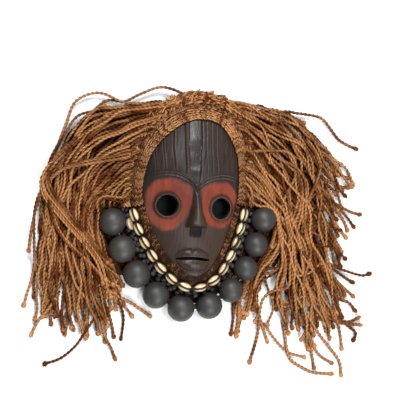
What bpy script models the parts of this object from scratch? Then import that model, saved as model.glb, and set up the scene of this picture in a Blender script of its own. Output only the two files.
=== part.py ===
# Tribal mask lying on its back: a carved wooden face with a plaited headband, a jaw strip
# with cowrie shells, a row of small beads, ten seed balls and two masses of fibre cords.
# Metres, +Z up out of the face, +Y to the top of the head. The wooden rim's flat back is
# at z = 0 and the origin is on it, in the middle of the rim's top.
import math

import bmesh
import bpy
from mathutils import Matrix, Vector

for old in list(bpy.data.objects):
    bpy.data.objects.remove(old)

MM = 0.001
GAP = 0.3 * MM                    # between pieces that touch

# Carved face
RIM_TOP = 6 * MM                  # rim's upper edge above the origin
FACE_LENGTH = 257 * MM
FACE_HALF_WIDTH = 83 * MM
BROW_DROP = 126 * MM              # from the rim's top edge down to the widest line
CENTRE_BOW = 10 * MM              # the hand-cut centre line bows to one side,
BOW_REACH = 119.6 * MM            # by nothing this far from the widest line
FEATURE_LEAN = 4.4 * MM           # brows and eyes stand to one side of the outline's middle,
NOSE_LEAN = 3 * MM                # and the nose leans on by this on its way down
TOP_SHOULDER = 28 * MM            # height of the outer side wall at the top,
TEMPLE_SHOULDER = 17 * MM         # at the temples
CHIN_SHOULDER = 33 * MM           # and at the chin
WALL = 9 * MM                     # thickness of the carved shell
RIM_WIDTH = 14 * MM               # flat back of the rim
DOME_ROUND = 2.2                  # powers of the side-to-side curve,
HEAD_ROUND = 2.2                  # of the outline above the widest line
JAW_TAPER = 1.4                   # and of the outline below it
FACE_COLUMNS = 26
FACE_ROWS = 32
CAVITY_COLUMNS = 8
CAVITY_ROWS = 10

EYE_APART = 40 * MM               # from the centre line
EYE_DROP = 144 * MM               # below the rim's top edge
EYE_HOLE = 15.5 * MM              # radius
EYE_RIM_WALL = 3.2 * MM
EYE_RIM_PROUD = 6 * MM
EYE_SIDES = 18
SOCKET_DEPTH = 6 * MM
SOCKET_WIDTH = 36 * MM
SOCKET_HEIGHT = 34 * MM

BROW_MIDDLE_DROP = 116 * MM       # where the brow arcs meet, below the rim's top edge
BROW_ARCH = 22 * MM
BROW_REACH = 61 * MM
BROW_PROUD = 4.5 * MM
BROW_LINE = 4.5 * MM              # half width of a raised line
BROW_LINES_APART = 6 * MM

NOSE_TOP_DROP = 115 * MM
NOSE_LENGTH = 55 * MM
NOSE_PROUD = 24 * MM
NOSE_BRIDGE = 7 * MM              # half widths
NOSE_WINGS = 17 * MM

MOUTH_RISE = 39 * MM              # above the rim's lower edge
MOUTH_HALF_WIDTH = 24 * MM
MOUTH_SLIT = 3.4 * MM
LIPS_HALF_WIDTH = 28 * MM
LIPS_HALF_HEIGHT = 18 * MM
LIPS_PROUD = 9 * MM

GROOVE_DEPTH = 2.2 * MM
GROOVE_HALF_WIDTH = 4.2 * MM
GROOVES = (-0.80, -0.62, -0.42, -0.2, 0.0, 0.2, 0.38, 0.54, 0.7, 0.84)   # shares of the half width

# Plaited headband over the edge of the wood
BAND_OVER_WOOD = 11 * MM
BAND_BEYOND = 8 * MM
BAND_THICKNESS = 7 * MM
BAND_BACK = 1 * MM                # its lower edge above the rim's back
BAND_PLAIT = 14 * MM              # length of one plait
PLAIT_RELIEF = 1.2 * MM
WOOD_CLEARANCE = 0.6 * MM         # fibre above the carved wood

# Strip along the jaw that carries the shells
STRIP_END_LEFT = 110 * MM         # its two ends, where the headband's are too,
STRIP_END_RIGHT = 119 * MM        # above the rim's lower edge
STRIP_OVER_WOOD = 13 * MM
STRIP_BEYOND = 8 * MM
STRIP_THICKNESS = 3 * MM
STRIP_SKIRT = 10 * MM             # how far it hangs down the side wall
STRIP_STATIONS = 36

# Cowrie shells
COWRIES = 14                      # in the row along the jaw
COWRIE_LENGTH = 20 * MM
COWRIE_WIDTH = 14 * MM
COWRIE_HEIGHT = 9 * MM
COWRIE_PITCH = 21 * MM
COWRIE_SLIT = 1.8 * MM
COWRIE_TILT = math.radians(30)    # outward
COWRIE_OUT = 2 * MM               # row's centre from the edge of the wood
EDGE_COWRIE_TILT = math.radians(80)

# Small beads in a row outside the shells
BEAD_RADIUS = 4.4 * MM
BEAD_PITCH = 10.5 * MM
BEAD_THREAD = 1.5 * MM
BEAD_SIDES = 5
BEAD_OUT = 12.5 * MM              # from the edge of the wood

# Seed balls, from the left temple round the chin to the right temple
BALL_RADII = (20 * MM, 20.2 * MM, 20.6 * MM, 20 * MM, 20.4 * MM, 20 * MM, 18.8 * MM, 18.4 * MM,
              18.4 * MM, 19 * MM)
BALL_SPARE = 1.3 * MM               # between neighbours
BALL_FLAT = 3 * MM                # radius of the flat spot each lies on
BALL_SIDES = 10
BALL_RINGS = 6
BALL_OUT = 36 * MM                # centres from the edge of the wood
BALL_START_RISE = 85 * MM         # first ball above the rim's lower edge

# Fibre cords, lying on the surface in two masses
HAIR_STEP = 1 * MM                # one step of the guides' tables
HAIR_ROOT_HEIGHT = 24 * MM
HAIR_HEIGHT = 25 * MM
HAIR_TIP_HEIGHT = 7 * MM
HAIR_LOCKS = 12
HAIR_ROWS = 8
LOCK_NOTCH = 0.84                 # length of the valley between two locks, as a share
LOCK_VALLEY = 0.62
STRAY_RADIUS = 2.3 * MM
STRAY_SIDES = 6
STRAY_STEP = 14 * MM

rim_bottom = RIM_TOP - FACE_LENGTH
widest_y = RIM_TOP - BROW_DROP
lower_length = FACE_LENGTH - BROW_DROP
left_end = rim_bottom + STRIP_END_LEFT
right_end = rim_bottom + STRIP_END_RIGHT


def material(name, colour, roughness):
    made = bpy.data.materials.new(name)
    made.use_nodes = True
    shader = made.node_tree.nodes["Principled BSDF"]
    shader.inputs["Base Color"].default_value = (*colour, 1)
    shader.inputs["Roughness"].default_value = roughness
    shader.inputs["Metallic"].default_value = 0
    return made


dark_wood = material("dark_wood", (0.045, 0.034, 0.030), 0.38)
band_fibre = material("band_fibre", (0.36, 0.15, 0.06), 0.85)
strip_fibre = material("strip_fibre", (0.08, 0.045, 0.025), 0.9)
shell = material("shell", (0.80, 0.62, 0.42), 0.3)
bead_glass = material("bead", (0.02, 0.02, 0.02), 0.3)
seed = material("seed", (0.035, 0.035, 0.037), 0.8)
hair_fibre = material("hair_fibre", (0.40, 0.17, 0.06), 0.8)


def finish(name, mesh_source, finish_material, sharp_degrees=40):
    mesh = bpy.data.meshes.new(name)
    bmesh.ops.recalc_face_normals(mesh_source, faces=mesh_source.faces)
    mesh_source.to_mesh(mesh)
    mesh_source.free()
    mesh.shade_smooth()
    mesh.set_sharp_from_angle(angle=math.radians(sharp_degrees))
    mesh.materials.append(finish_material)
    piece = bpy.data.objects.new(name, mesh)
    bpy.context.scene.collection.objects.link(piece)
    return piece


def cut_with(piece, cutter, operation="DIFFERENCE"):
    # The cutter is used up: the result is written into the piece's own mesh.
    step = piece.modifiers.new(operation.lower(), "BOOLEAN")
    step.operation = operation
    step.solver = "EXACT"
    step.object = cutter
    depsgraph = bpy.context.evaluated_depsgraph_get()
    result = bpy.data.meshes.new_from_object(piece.evaluated_get(depsgraph))
    piece.modifiers.remove(step)
    piece.data = result
    bpy.data.objects.remove(cutter)
    return piece


def smooth_through(points, share):
    # Catmull-Rom curve through (share, value) points.
    last = len(points) - 1
    at = 0
    while at < last - 1 and share > points[at + 1][0]:
        at += 1
    before = points[max(at - 1, 0)][1]
    here = points[at][1]
    after = points[at + 1][1]
    beyond = points[min(at + 2, last)][1]
    span = points[at + 1][0] - points[at][0]
    f = min(max((share - points[at][0]) / span, 0), 1)
    return 0.5 * (2 * here + (after - before) * f
                  + (2 * before - 5 * here + 4 * after - beyond) * f * f
                  + (3 * here - before - 3 * after + beyond) * f ** 3)


def hump(distance, half_width):
    return max(0.0, 1 - (distance / half_width) ** 2)


def step_up(value):
    f = min(max(value, 0), 1)
    return f * f * (3 - 2 * f)


# Outline of the wood

def bow(y):
    share = (y - widest_y) / BOW_REACH
    return -CENTRE_BOW * max(0.0, 1 - share * share)


def half_width(y):
    if y > widest_y:
        share = min((y - widest_y) / BROW_DROP, 1)
        return FACE_HALF_WIDTH * (1 - share ** HEAD_ROUND) ** (1 / HEAD_ROUND)
    share = min((widest_y - y) / lower_length, 1)
    return FACE_HALF_WIDTH * math.sqrt(1 - share ** JAW_TAPER)


def shoulder(y):
    if y > widest_y:
        share = min((y - widest_y) / BROW_DROP, 1)
        return TEMPLE_SHOULDER + (TOP_SHOULDER - TEMPLE_SHOULDER) * share ** 2
    share = min((widest_y - y) / lower_length, 1)
    return TEMPLE_SHOULDER + (CHIN_SHOULDER - TEMPLE_SHOULDER) * share ** 1.6


def rim_curve():
    # Outline as a closed run of points, clockwise from the chin: left side up, right side down.
    steps = 720
    points = []
    for i in range(steps):
        turn = -math.pi / 2 - 2 * math.pi * i / steps
        c = math.cos(turn)
        s = math.sin(turn)
        if s > 0:
            x = abs(c) ** (2 / HEAD_ROUND)
            y = widest_y + BROW_DROP * s ** (2 / HEAD_ROUND)
        else:
            x = abs(c)
            y = widest_y - lower_length * abs(s) ** (2 / JAW_TAPER)
        points.append(Vector((math.copysign(x * FACE_HALF_WIDTH, c) + bow(y), y)))
    return points


class Track:
    # A run of points that can be walked by length, with the outward side on its left.

    def __init__(self, points):
        self.points = points
        self.lengths = [0.0]
        for a, b in zip(points, points[1:]):
            self.lengths.append(self.lengths[-1] + (b - a).length)
        self.length = self.lengths[-1]

    def at(self, distance):
        distance = min(max(distance, 0), self.length)
        low = 0
        high = len(self.points) - 1
        while high - low > 1:
            middle = (low + high) // 2
            if self.lengths[middle] <= distance:
                low = middle
            else:
                high = middle
        span = self.lengths[high] - self.lengths[low]
        f = (distance - self.lengths[low]) / span if span > 0 else 0
        return self.points[low].lerp(self.points[high], f)

    def normal(self, distance):
        reach = 3 * MM
        ahead = self.at(distance + reach) - self.at(distance - reach)
        return Vector((-ahead.y, ahead.x)).normalized()

    def out(self, distance, offset):
        return self.at(distance) + self.normal(distance) * offset


def upper_track():
    # Left temple, over the top, right temple.
    points = rim_curve()
    chin_to_top = len(points) // 2
    rising = [p for p in points[:chin_to_top] if p.y > left_end]
    falling = [p for p in points[chin_to_top:] if p.y > right_end]
    return Track(rising + falling)


def lower_track():
    # Right temple, round the chin, left temple.
    points = rim_curve()
    chin_to_top = len(points) // 2
    falling = [p for p in points[chin_to_top:] if p.y < right_end]
    rising = [p for p in points[:chin_to_top] if p.y < left_end]
    return Track(falling + rising)


# Height of the carved front

LEAN_PROFILE = ((0, 0), (0.25, 0.8), (0.4, 1), (0.6, 1), (0.78, 0.1), (0.9, 0), (1, 0))
CENTRE_PROFILE = ((0.00, 30 * MM), (0.06, 41 * MM), (0.20, 53 * MM), (0.34, 59 * MM),
                  (0.44, 54 * MM), (0.62, 50 * MM), (0.80, 50 * MM), (0.93, 47 * MM),
                  (1.00, 34 * MM))


def brow_line(off_centre):
    share = min(off_centre / (BROW_REACH * 0.8), 1)
    middle = RIM_TOP - BROW_MIDDLE_DROP
    droop = max(0.0, off_centre - BROW_REACH * 0.8) * 0.3
    return middle + BROW_ARCH * math.sin(share * math.pi / 2) - droop


def dome(u, y):
    share = (RIM_TOP - y) / FACE_LENGTH
    middle = smooth_through(CENTRE_PROFILE, share)
    return middle - (middle - shoulder(y)) * abs(u) ** DOME_ROUND


def lean(y):
    # Whole from the brows to the eyes, nothing at the top of the forehead and at the mouth.
    return FEATURE_LEAN * smooth_through(LEAN_PROFILE, (RIM_TOP - y) / FACE_LENGTH)


def nose_height(x, y):
    share = (RIM_TOP - NOSE_TOP_DROP - y) / NOSE_LENGTH
    if share <= 0:
        return 0
    off_centre = x - NOSE_LEAN * min(share, 1)
    if share > 1:
        return NOSE_PROUD * hump(off_centre, NOSE_WINGS) * (1 - step_up((share - 1) / 0.09))
    width = NOSE_BRIDGE + (NOSE_WINGS - NOSE_BRIDGE) * share ** 2
    return NOSE_PROUD * share ** 1.2 * hump(off_centre, width)


def lips_height(off_centre, y):
    from_mouth = rim_bottom + MOUTH_RISE - y
    oval = (off_centre / LIPS_HALF_WIDTH) ** 2 + (from_mouth / LIPS_HALF_HEIGHT) ** 2
    if oval >= 1:
        return 0
    parting = 0.45 * hump(from_mouth, LIPS_HALF_HEIGHT * 0.35)
    return LIPS_PROUD * math.sqrt(1 - oval) * (1 - parting)


def socket_depth(off_centre, y):
    across = (off_centre - EYE_APART) / SOCKET_WIDTH
    along = (RIM_TOP - EYE_DROP - y) / SOCKET_HEIGHT
    return SOCKET_DEPTH * step_up(1.6 * (1 - math.hypot(across, along)))


def front(u, y):
    x = u * half_width(y) - lean(y)
    off_centre = abs(x)
    z = dome(u, y)
    z += nose_height(x, y)
    z += lips_height(off_centre, y)
    brow = brow_line(off_centre)
    if off_centre < BROW_REACH:
        upper = hump(y - brow, BROW_LINE)
        lower = hump(y - brow + BROW_LINES_APART, BROW_LINE)
        z += BROW_PROUD * max(upper, lower)
    if y < brow:
        z -= socket_depth(off_centre, y)
    if y > brow:
        fade = step_up((y - brow) / (8 * MM))
        nearest = min(abs(x - share * half_width(max(y, widest_y)) * 0.97) for share in GROOVES)
        z -= GROOVE_DEPTH * fade * hump(nearest, GROOVE_HALF_WIDTH)
    return z


def wood_rows():
    # Rows close up towards the two blunt ends of the outline.
    rows = []
    for i in range(FACE_ROWS + 1):
        share = i / FACE_ROWS
        eased = share - 0.055 * math.sin(2 * math.pi * share)
        rows.append(RIM_TOP - 0.6 * MM - (FACE_LENGTH - 1.2 * MM) * eased)
    return rows


def block(columns, rows, width_at, top_at, bottom):
    # Closed solid with a height-field front and a flat back.
    bm = bmesh.new()
    upper = []
    lower = []
    for y in rows:
        line = []
        base = []
        for i in range(columns + 1):
            u = 2 * i / columns - 1
            x = bow(y) + u * width_at(y)
            line.append(bm.verts.new((x, y, top_at(u, y))))
            base.append(bm.verts.new((x, y, bottom)))
        upper.append(line)
        lower.append(base)
    for r in range(len(rows) - 1):
        for i in range(columns):
            bm.faces.new((upper[r][i], upper[r + 1][i], upper[r + 1][i + 1], upper[r][i + 1]))
            bm.faces.new((lower[r][i], lower[r][i + 1], lower[r + 1][i + 1], lower[r + 1][i]))
        for i in (0, columns):
            bm.faces.new((upper[r][i], upper[r + 1][i], lower[r + 1][i], lower[r][i]))
    for r in (0, len(rows) - 1):
        for i in range(columns):
            bm.faces.new((upper[r][i], upper[r][i + 1], lower[r][i + 1], lower[r][i]))
    back = [f for f in bm.faces if all(v.co.z == bottom for v in f.verts)]
    bmesh.ops.dissolve_faces(bm, faces=back)
    return bm


def turned(profile, sides):
    # Turns (radius, z) points round the Z axis. A radius of nought is a pole.
    bm = bmesh.new()
    rings = []
    for radius, z in profile:
        if radius == 0:
            rings.append([bm.verts.new((0, 0, z))])
            continue
        ring = []
        for i in range(sides):
            turn = 2 * math.pi * i / sides
            ring.append(bm.verts.new((radius * math.cos(turn), radius * math.sin(turn), z)))
        rings.append(ring)
    for a, b in zip(rings, rings[1:]):
        for i in range(sides):
            j = (i + 1) % sides
            if len(a) == 1:
                bm.faces.new((a[0], b[j], b[i]))
            elif len(b) == 1:
                bm.faces.new((a[i], a[j], b[0]))
            else:
                bm.faces.new((a[i], a[j], b[j], b[i]))
    for ring in (rings[0], rings[-1]):
        if len(ring) > 1:
            bm.faces.new(ring)
    return bm


def swept(rings):
    # Closed tube through rings of points, with flat ends.
    bm = bmesh.new()
    made = [[bm.verts.new(p) for p in ring] for ring in rings]
    count = len(made[0])
    for a, b in zip(made, made[1:]):
        for i in range(count):
            j = (i + 1) % count
            bm.faces.new((a[i], a[j], b[j], b[i]))
    bm.faces.new(list(reversed(made[0])))
    bm.faces.new(made[-1])
    return bm


def cavity_half_width(y):
    return max(half_width(y) - RIM_WIDTH, 4 * MM)


def cavity_height(u, y):
    inset = 1 - RIM_WIDTH / FACE_HALF_WIDTH
    return dome(u * inset, y) - SOCKET_DEPTH - WALL


def make_wood():
    wood = finish("wood_face", block(FACE_COLUMNS, wood_rows(), half_width, front, 0), dark_wood)
    eye_y = RIM_TOP - EYE_DROP
    for side in (-1, 1):
        centre = (bow(eye_y) + lean(eye_y) + side * EYE_APART, eye_y)
        seat = front((lean(eye_y) + side * EYE_APART) / half_width(eye_y), eye_y)
        outer = EYE_HOLE + EYE_RIM_WALL
        foot = outer + EYE_RIM_WALL * 0.75
        top = seat + EYE_RIM_PROUD
        ring = turned(((foot, seat - WALL), (foot, seat - 1 * MM), (outer, top - 1.5 * MM),
                       (outer - EYE_RIM_WALL / 2, top)), EYE_SIDES)
        bmesh.ops.translate(ring, verts=ring.verts, vec=(*centre, 0))
        cut_with(wood, finish("eye_rim", ring, dark_wood), "UNION")
    cavity_rows = [RIM_TOP - RIM_WIDTH - (FACE_LENGTH - 2 * RIM_WIDTH) * i / CAVITY_ROWS
                   for i in range(CAVITY_ROWS + 1)]
    cavity = block(CAVITY_COLUMNS, cavity_rows, cavity_half_width, cavity_height, -5 * MM)
    cut_with(wood, finish("cavity", cavity, dark_wood))
    for side in (-1, 1):
        centre = (bow(eye_y) + lean(eye_y) + side * EYE_APART, eye_y)
        hole = turned(((EYE_HOLE, -6 * MM), (EYE_HOLE, 90 * MM)), EYE_SIDES)
        bmesh.ops.translate(hole, verts=hole.verts, vec=(*centre, 0))
        cut_with(wood, finish("eye_hole", hole, dark_wood))
    mouth_y = rim_bottom + MOUTH_RISE
    slit = bmesh.new()
    bmesh.ops.create_cube(slit, size=1)
    bmesh.ops.scale(slit, verts=slit.verts, vec=(2 * MOUTH_HALF_WIDTH, MOUTH_SLIT, 100 * MM))
    bmesh.ops.translate(slit, verts=slit.verts, vec=(bow(mouth_y), mouth_y, 45 * MM))
    cut_with(wood, finish("slit", slit, dark_wood))
    return wood


# Headband and jaw strip, swept along the rim, each just clear of the wood

def wood_under(track, distance, inset):
    # Height of the carved dome at a distance in from its edge.
    point = track.out(distance, -inset)
    u = (point.x - bow(point.y)) / max(half_width(point.y), MM)
    return dome(min(max(u, -1), 1), point.y)


def band_rings():
    track = upper_track()
    count = 2 * round(track.length / BAND_PLAIT)
    rings = []
    for i in range(count + 1):
        distance = track.length * i / count
        proud = PLAIT_RELIEF if i % 2 else 0
        inner = wood_under(track, distance, BAND_OVER_WOOD)
        middle = wood_under(track, distance, BAND_OVER_WOOD / 2)
        edge = shoulder(track.at(distance).y)
        section = ((-BAND_OVER_WOOD, inner + WOOD_CLEARANCE),
                   (-BAND_OVER_WOOD, inner + BAND_THICKNESS * 0.8 - proud),
                   (-BAND_OVER_WOOD / 2, middle + BAND_THICKNESS * 1.15 + proud),
                   (BAND_BEYOND * 0.4, edge + BAND_THICKNESS - proud),
                   (BAND_BEYOND, edge - BAND_THICKNESS * 0.2),
                   (BAND_BEYOND, BAND_BACK),
                   (WOOD_CLEARANCE, BAND_BACK),
                   (WOOD_CLEARANCE, edge + WOOD_CLEARANCE),
                   (-BAND_OVER_WOOD / 2, middle + WOOD_CLEARANCE))
        rings.append([(*track.out(distance, n), z) for n, z in section])
    return rings


def make_band():
    return finish("headband", swept(band_rings()), band_fibre)


def shell_seat(edge, out):
    # Height of the strip's sloping top, on which the shells lie.
    return edge + STRIP_THICKNESS - math.tan(COWRIE_TILT) * out


def make_strip():
    track = lower_track()
    clear = 2 * GAP
    seat_inner = 4.5 * MM
    rings = []
    for i in range(STRIP_STATIONS + 1):
        distance = clear + (track.length - 2 * clear) * i / STRIP_STATIONS
        inner = wood_under(track, distance, STRIP_OVER_WOOD)
        middle = wood_under(track, distance, seat_inner)
        between = (STRIP_OVER_WOOD + seat_inner) / 2
        padding = wood_under(track, distance, between) + WOOD_CLEARANCE
        edge = shoulder(track.at(distance).y)
        section = ((-STRIP_OVER_WOOD, inner + WOOD_CLEARANCE),
                   (-STRIP_OVER_WOOD, inner + STRIP_THICKNESS * 0.8),
                   (-seat_inner, max(shell_seat(edge, -seat_inner), middle + 1.5 * MM)),
                   (STRIP_BEYOND, shell_seat(edge, STRIP_BEYOND)),
                   (STRIP_BEYOND, edge - STRIP_SKIRT),
                   (WOOD_CLEARANCE, edge - STRIP_SKIRT),
                   (WOOD_CLEARANCE, edge + WOOD_CLEARANCE),
                   (-seat_inner, middle + WOOD_CLEARANCE),
                   (-between, padding))
        rings.append([(*track.out(distance, n), z) for n, z in section])
    return finish("jaw_strip", swept(rings), strip_fibre)


# Cowrie shells

def cowrie_mesh():
    # Slit side up, long axis along X, lying on z = 0.
    stations = 5
    sides = 8
    bm = bmesh.new()
    rings = []
    for i in range(1, stations):
        share = i / stations
        along = (share - 0.5) * COWRIE_LENGTH
        girth = math.sqrt(1 - (2 * share - 1) ** 2) * (1.06 - 0.14 * share)
        ring = []
        for k in range(sides):
            turn = 2 * math.pi * k / sides + math.pi / 2
            across = math.cos(turn) * COWRIE_WIDTH / 2 * girth
            up = math.sin(turn)
            z = COWRIE_HEIGHT * (0.42 + 0.58 * up * girth if up > 0 else 0.42 + 0.42 * up * girth)
            if k == 0:
                z -= COWRIE_SLIT
            ring.append(bm.verts.new((along, across, z)))
        rings.append(ring)
    ends = [bm.verts.new((side * COWRIE_LENGTH / 2, 0, COWRIE_HEIGHT * 0.42)) for side in (-1, 1)]
    for a, b in zip(rings, rings[1:]):
        for k in range(sides):
            j = (k + 1) % sides
            bm.faces.new((a[k], a[j], b[j], b[k]))
    for k in range(sides):
        j = (k + 1) % sides
        bm.faces.new((ends[0], rings[0][j], rings[0][k]))
        bm.faces.new((ends[1], rings[-1][k], rings[-1][j]))
    return bm


def place(bm, centre, along, up):
    forward = Vector(along).normalized()
    normal = Vector(up).normalized()
    across = normal.cross(forward).normalized()
    forward = across.cross(normal)
    turn = Matrix((forward, across, normal)).transposed().to_4x4()
    bmesh.ops.transform(bm, matrix=Matrix.Translation(centre) @ turn, verts=bm.verts)
    return bm


def seat_point(track, distance, out, lift):
    point = track.out(distance, out)
    return Vector((point.x, point.y, shell_seat(shoulder(track.at(distance).y), out) + lift))


def make_cowries():
    # The row is numbered from the left temple. Number one hangs on edge outside it.
    track = lower_track()
    row = (COWRIES - 1) * COWRIE_PITCH
    start = (track.length + row) / 2
    lift = 3 * GAP
    reach = COWRIE_LENGTH * 0.4
    for i in range(COWRIES):
        distance = start - i * COWRIE_PITCH
        normal = track.normal(distance)
        along = (seat_point(track, distance + reach, COWRIE_OUT, lift)
                 - seat_point(track, distance - reach, COWRIE_OUT, lift))
        up = Vector((*(normal * math.sin(COWRIE_TILT)), math.cos(COWRIE_TILT)))
        centre = seat_point(track, distance, COWRIE_OUT, lift)
        finish(f"cowrie_{i + 2:02d}", place(cowrie_mesh(), centre, along, up), shell)
    distance = start - COWRIE_PITCH / 2
    normal = track.normal(distance)
    base = track.out(distance, STRIP_BEYOND + 5 * GAP)
    lift = shoulder(track.at(distance).y) + COWRIE_WIDTH * 0.65
    up = Vector((*(normal * math.sin(EDGE_COWRIE_TILT)), math.cos(EDGE_COWRIE_TILT)))
    along = Vector((-normal.y, normal.x, 0))
    finish("cowrie_01", place(cowrie_mesh(), Vector((*base, lift)), along, up), shell)


# Small beads on one thread

def bead_height(y):
    return 5.2 * MM + 0.25 * (shoulder(y) - TEMPLE_SHOULDER)


def make_beads():
    track = lower_track()
    count = int((track.length - 2 * BEAD_RADIUS) / BEAD_PITCH)
    spare = (track.length - count * BEAD_PITCH) / 2
    rings = []
    shape = ((0.0, BEAD_THREAD), (0.28, BEAD_RADIUS), (0.72, BEAD_RADIUS))
    for i in range(count + 1):
        for share, radius in shape:
            if i == count and share > 0:
                break
            distance = spare + (i + share) * BEAD_PITCH
            centre = track.out(distance, BEAD_OUT)
            normal = track.normal(distance)
            z = bead_height(track.at(distance).y)
            ring = []
            for k in range(BEAD_SIDES):
                turn = 2 * math.pi * (k + 0.5) / BEAD_SIDES
                sideways = normal * (math.cos(turn) * radius)
                ring.append((centre.x + sideways.x, centre.y + sideways.y,
                             z + math.sin(turn) * radius))
            rings.append(ring)
    return finish("small_beads", swept(rings), bead_glass)


# Seed balls

def make_balls():
    # Walks the line of the balls' centres and puts each one next to the last.
    rim = rim_curve()
    chin_to_top = len(rim) // 2
    edge = Track(rim[chin_to_top:] + rim[:chin_to_top])
    steps = len(rim)
    centres = [edge.out(edge.length * i / steps, BALL_OUT) for i in range(steps + 1)]
    low = [p for p in centres if p.y < rim_bottom + 2 * BALL_START_RISE]
    low.reverse()
    walk = Track(low)
    step = 0.25 * MM
    distance = 0
    while walk.at(distance).y > rim_bottom + BALL_START_RISE:
        distance += step
    centre = walk.at(distance)
    for i, radius in enumerate(BALL_RADII):
        if i > 0:
            reach = BALL_RADII[i - 1] + radius + BALL_SPARE
            while (walk.at(distance) - centre).length < reach and distance < walk.length:
                distance += step
            centre = walk.at(distance)
        first = math.asin(BALL_FLAT / radius)
        profile = []
        for ring in range(BALL_RINGS + 1):
            angle = first + (math.pi - first) * ring / BALL_RINGS
            around = 0 if ring == BALL_RINGS else radius * math.sin(angle)
            profile.append((around, -radius * math.cos(angle)))
        bm = turned(profile, BALL_SIDES)
        lift = radius * math.cos(first)
        bmesh.ops.translate(bm, verts=bm.verts, vec=(centre.x, centre.y, lift))
        finish(f"seed_ball_{i + 1:02d}", bm, seed)


# Fibre cords. Each guide runs on from its root at the headband, in steps measured from that
# root; the first guide is at the top of the head and the last one at the temple.

LEFT_GUIDES = (
    ((-26, 24), (-75, 8), (-126, -8), (-173, -52), (-200, -120), (-211, -202), (-215, -297)),
    ((-33, 12), (-80, -8), (-125, -47), (-160, -112), (-176, -192), (-181, -272), (-183, -330)),
    ((-40, -3), (-86, -35), (-116, -87), (-134, -154), (-142, -228), (-142, -300)),
    ((-34, -8), (-66, -42), (-89, -95), (-102, -154), (-104, -227), (-102, -294)),
    ((-30, -7), (-54, -44), (-70, -93), (-76, -152), (-72, -218), (-64, -279)),
    ((-26, -4), (-49, -38), (-59, -90), (-55, -141), (-44, -198), (-30, -261)),
    ((-23, 1), (-42, -23), (-50, -71), (-42, -113), (-26, -159), (-7, -211)),
    ((-23, 6), (-42, -8), (-50, -46), (-41, -76), (-23, -106), (0, -140)),
)
RIGHT_GUIDES = (
    ((20, 19), (56, 12), (91, 3), (139, -21), (179, -57), (221, -92)),
    ((42, 2), (82, -16), (122, -47), (154, -83), (180, -117), (207, -148)),
    ((33, -2), (68, -28), (106, -65), (138, -107), (165, -147), (190, -184)),
    ((28, -6), (57, -38), (92, -80), (122, -125), (148, -170), (179, -216)),
    ((25, -7), (51, -44), (81, -87), (108, -132), (136, -182), (175, -247)),
    ((22, -8), (44, -46), (70, -88), (96, -137), (123, -190), (157, -266)),
    ((21, -8), (42, -44), (63, -91), (83, -139), (104, -191), (126, -261)),
    ((22, -2), (46, -30), (58, -88), (69, -135), (78, -182), (88, -239)),
    ((23, 7), (49, -8), (53, -47), (43, -82), (26, -110), (11, -145), (0, -193)),
)
# Single cords that lie clear of the masses, in steps from the root of the first guide
# or of the last one.
HIGH_STRAYS = {
    -1: (),
    1: (((149, -54), (173, -46), (195, -36), (211, -40), (232, -51)),),
}
LOW_STRAYS = {
    -1: (((-47, -149), (-53, -189), (-75, -218), (-107, -241)),
         ((-35, -149), (-21, -186), (-9, -209), (0, -230)),
         ((-29, -104), (-8, -128), (11, -146), (33, -158), (55, -173))),
    1: (((119, -85), (144, -86), (165, -84), (183, -91), (200, -105)),
        ((41, -125), (47, -180), (69, -220), (109, -245), (148, -255)),
        ((119, -155), (131, -193), (145, -220), (155, -237), (164, -253))),
}


def root_point(track, side, share):
    # Roots run along the headband's outer edge, from the parting down to one temple.
    parting = 0
    while track.at(parting).x < -4 * MM:
        parting += MM
    near_end = 7 * MM
    if side < 0:
        distance = parting - 14 * MM - share * (parting - 14 * MM - near_end)
    else:
        distance = parting + 14 * MM + share * (track.length - near_end - parting - 14 * MM)
    return track.out(distance, BAND_BEYOND + 2 * GAP)


def hair_guides(side):
    track = upper_track()
    guides = LEFT_GUIDES if side < 0 else RIGHT_GUIDES
    made = []
    for i, guide in enumerate(guides):
        root = root_point(track, side, i / (len(guides) - 1))
        points = [root] + [root + Vector(step) * HAIR_STEP for step in guide]
        made.append(points)
    return made


def smooth_run(points, share):
    numbered = len(points) - 1
    xs = [(i / numbered, p.x) for i, p in enumerate(points)]
    ys = [(i / numbered, p.y) for i, p in enumerate(points)]
    return Vector((smooth_through(xs, share), smooth_through(ys, share)))


def lock_length(number):
    # Share of the guide that each lock reaches, uneven as the real ends are.
    return 1.0 - 0.045 * (1 + math.sin(number * 2.3)) - 0.02 * (number % 2)


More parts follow.
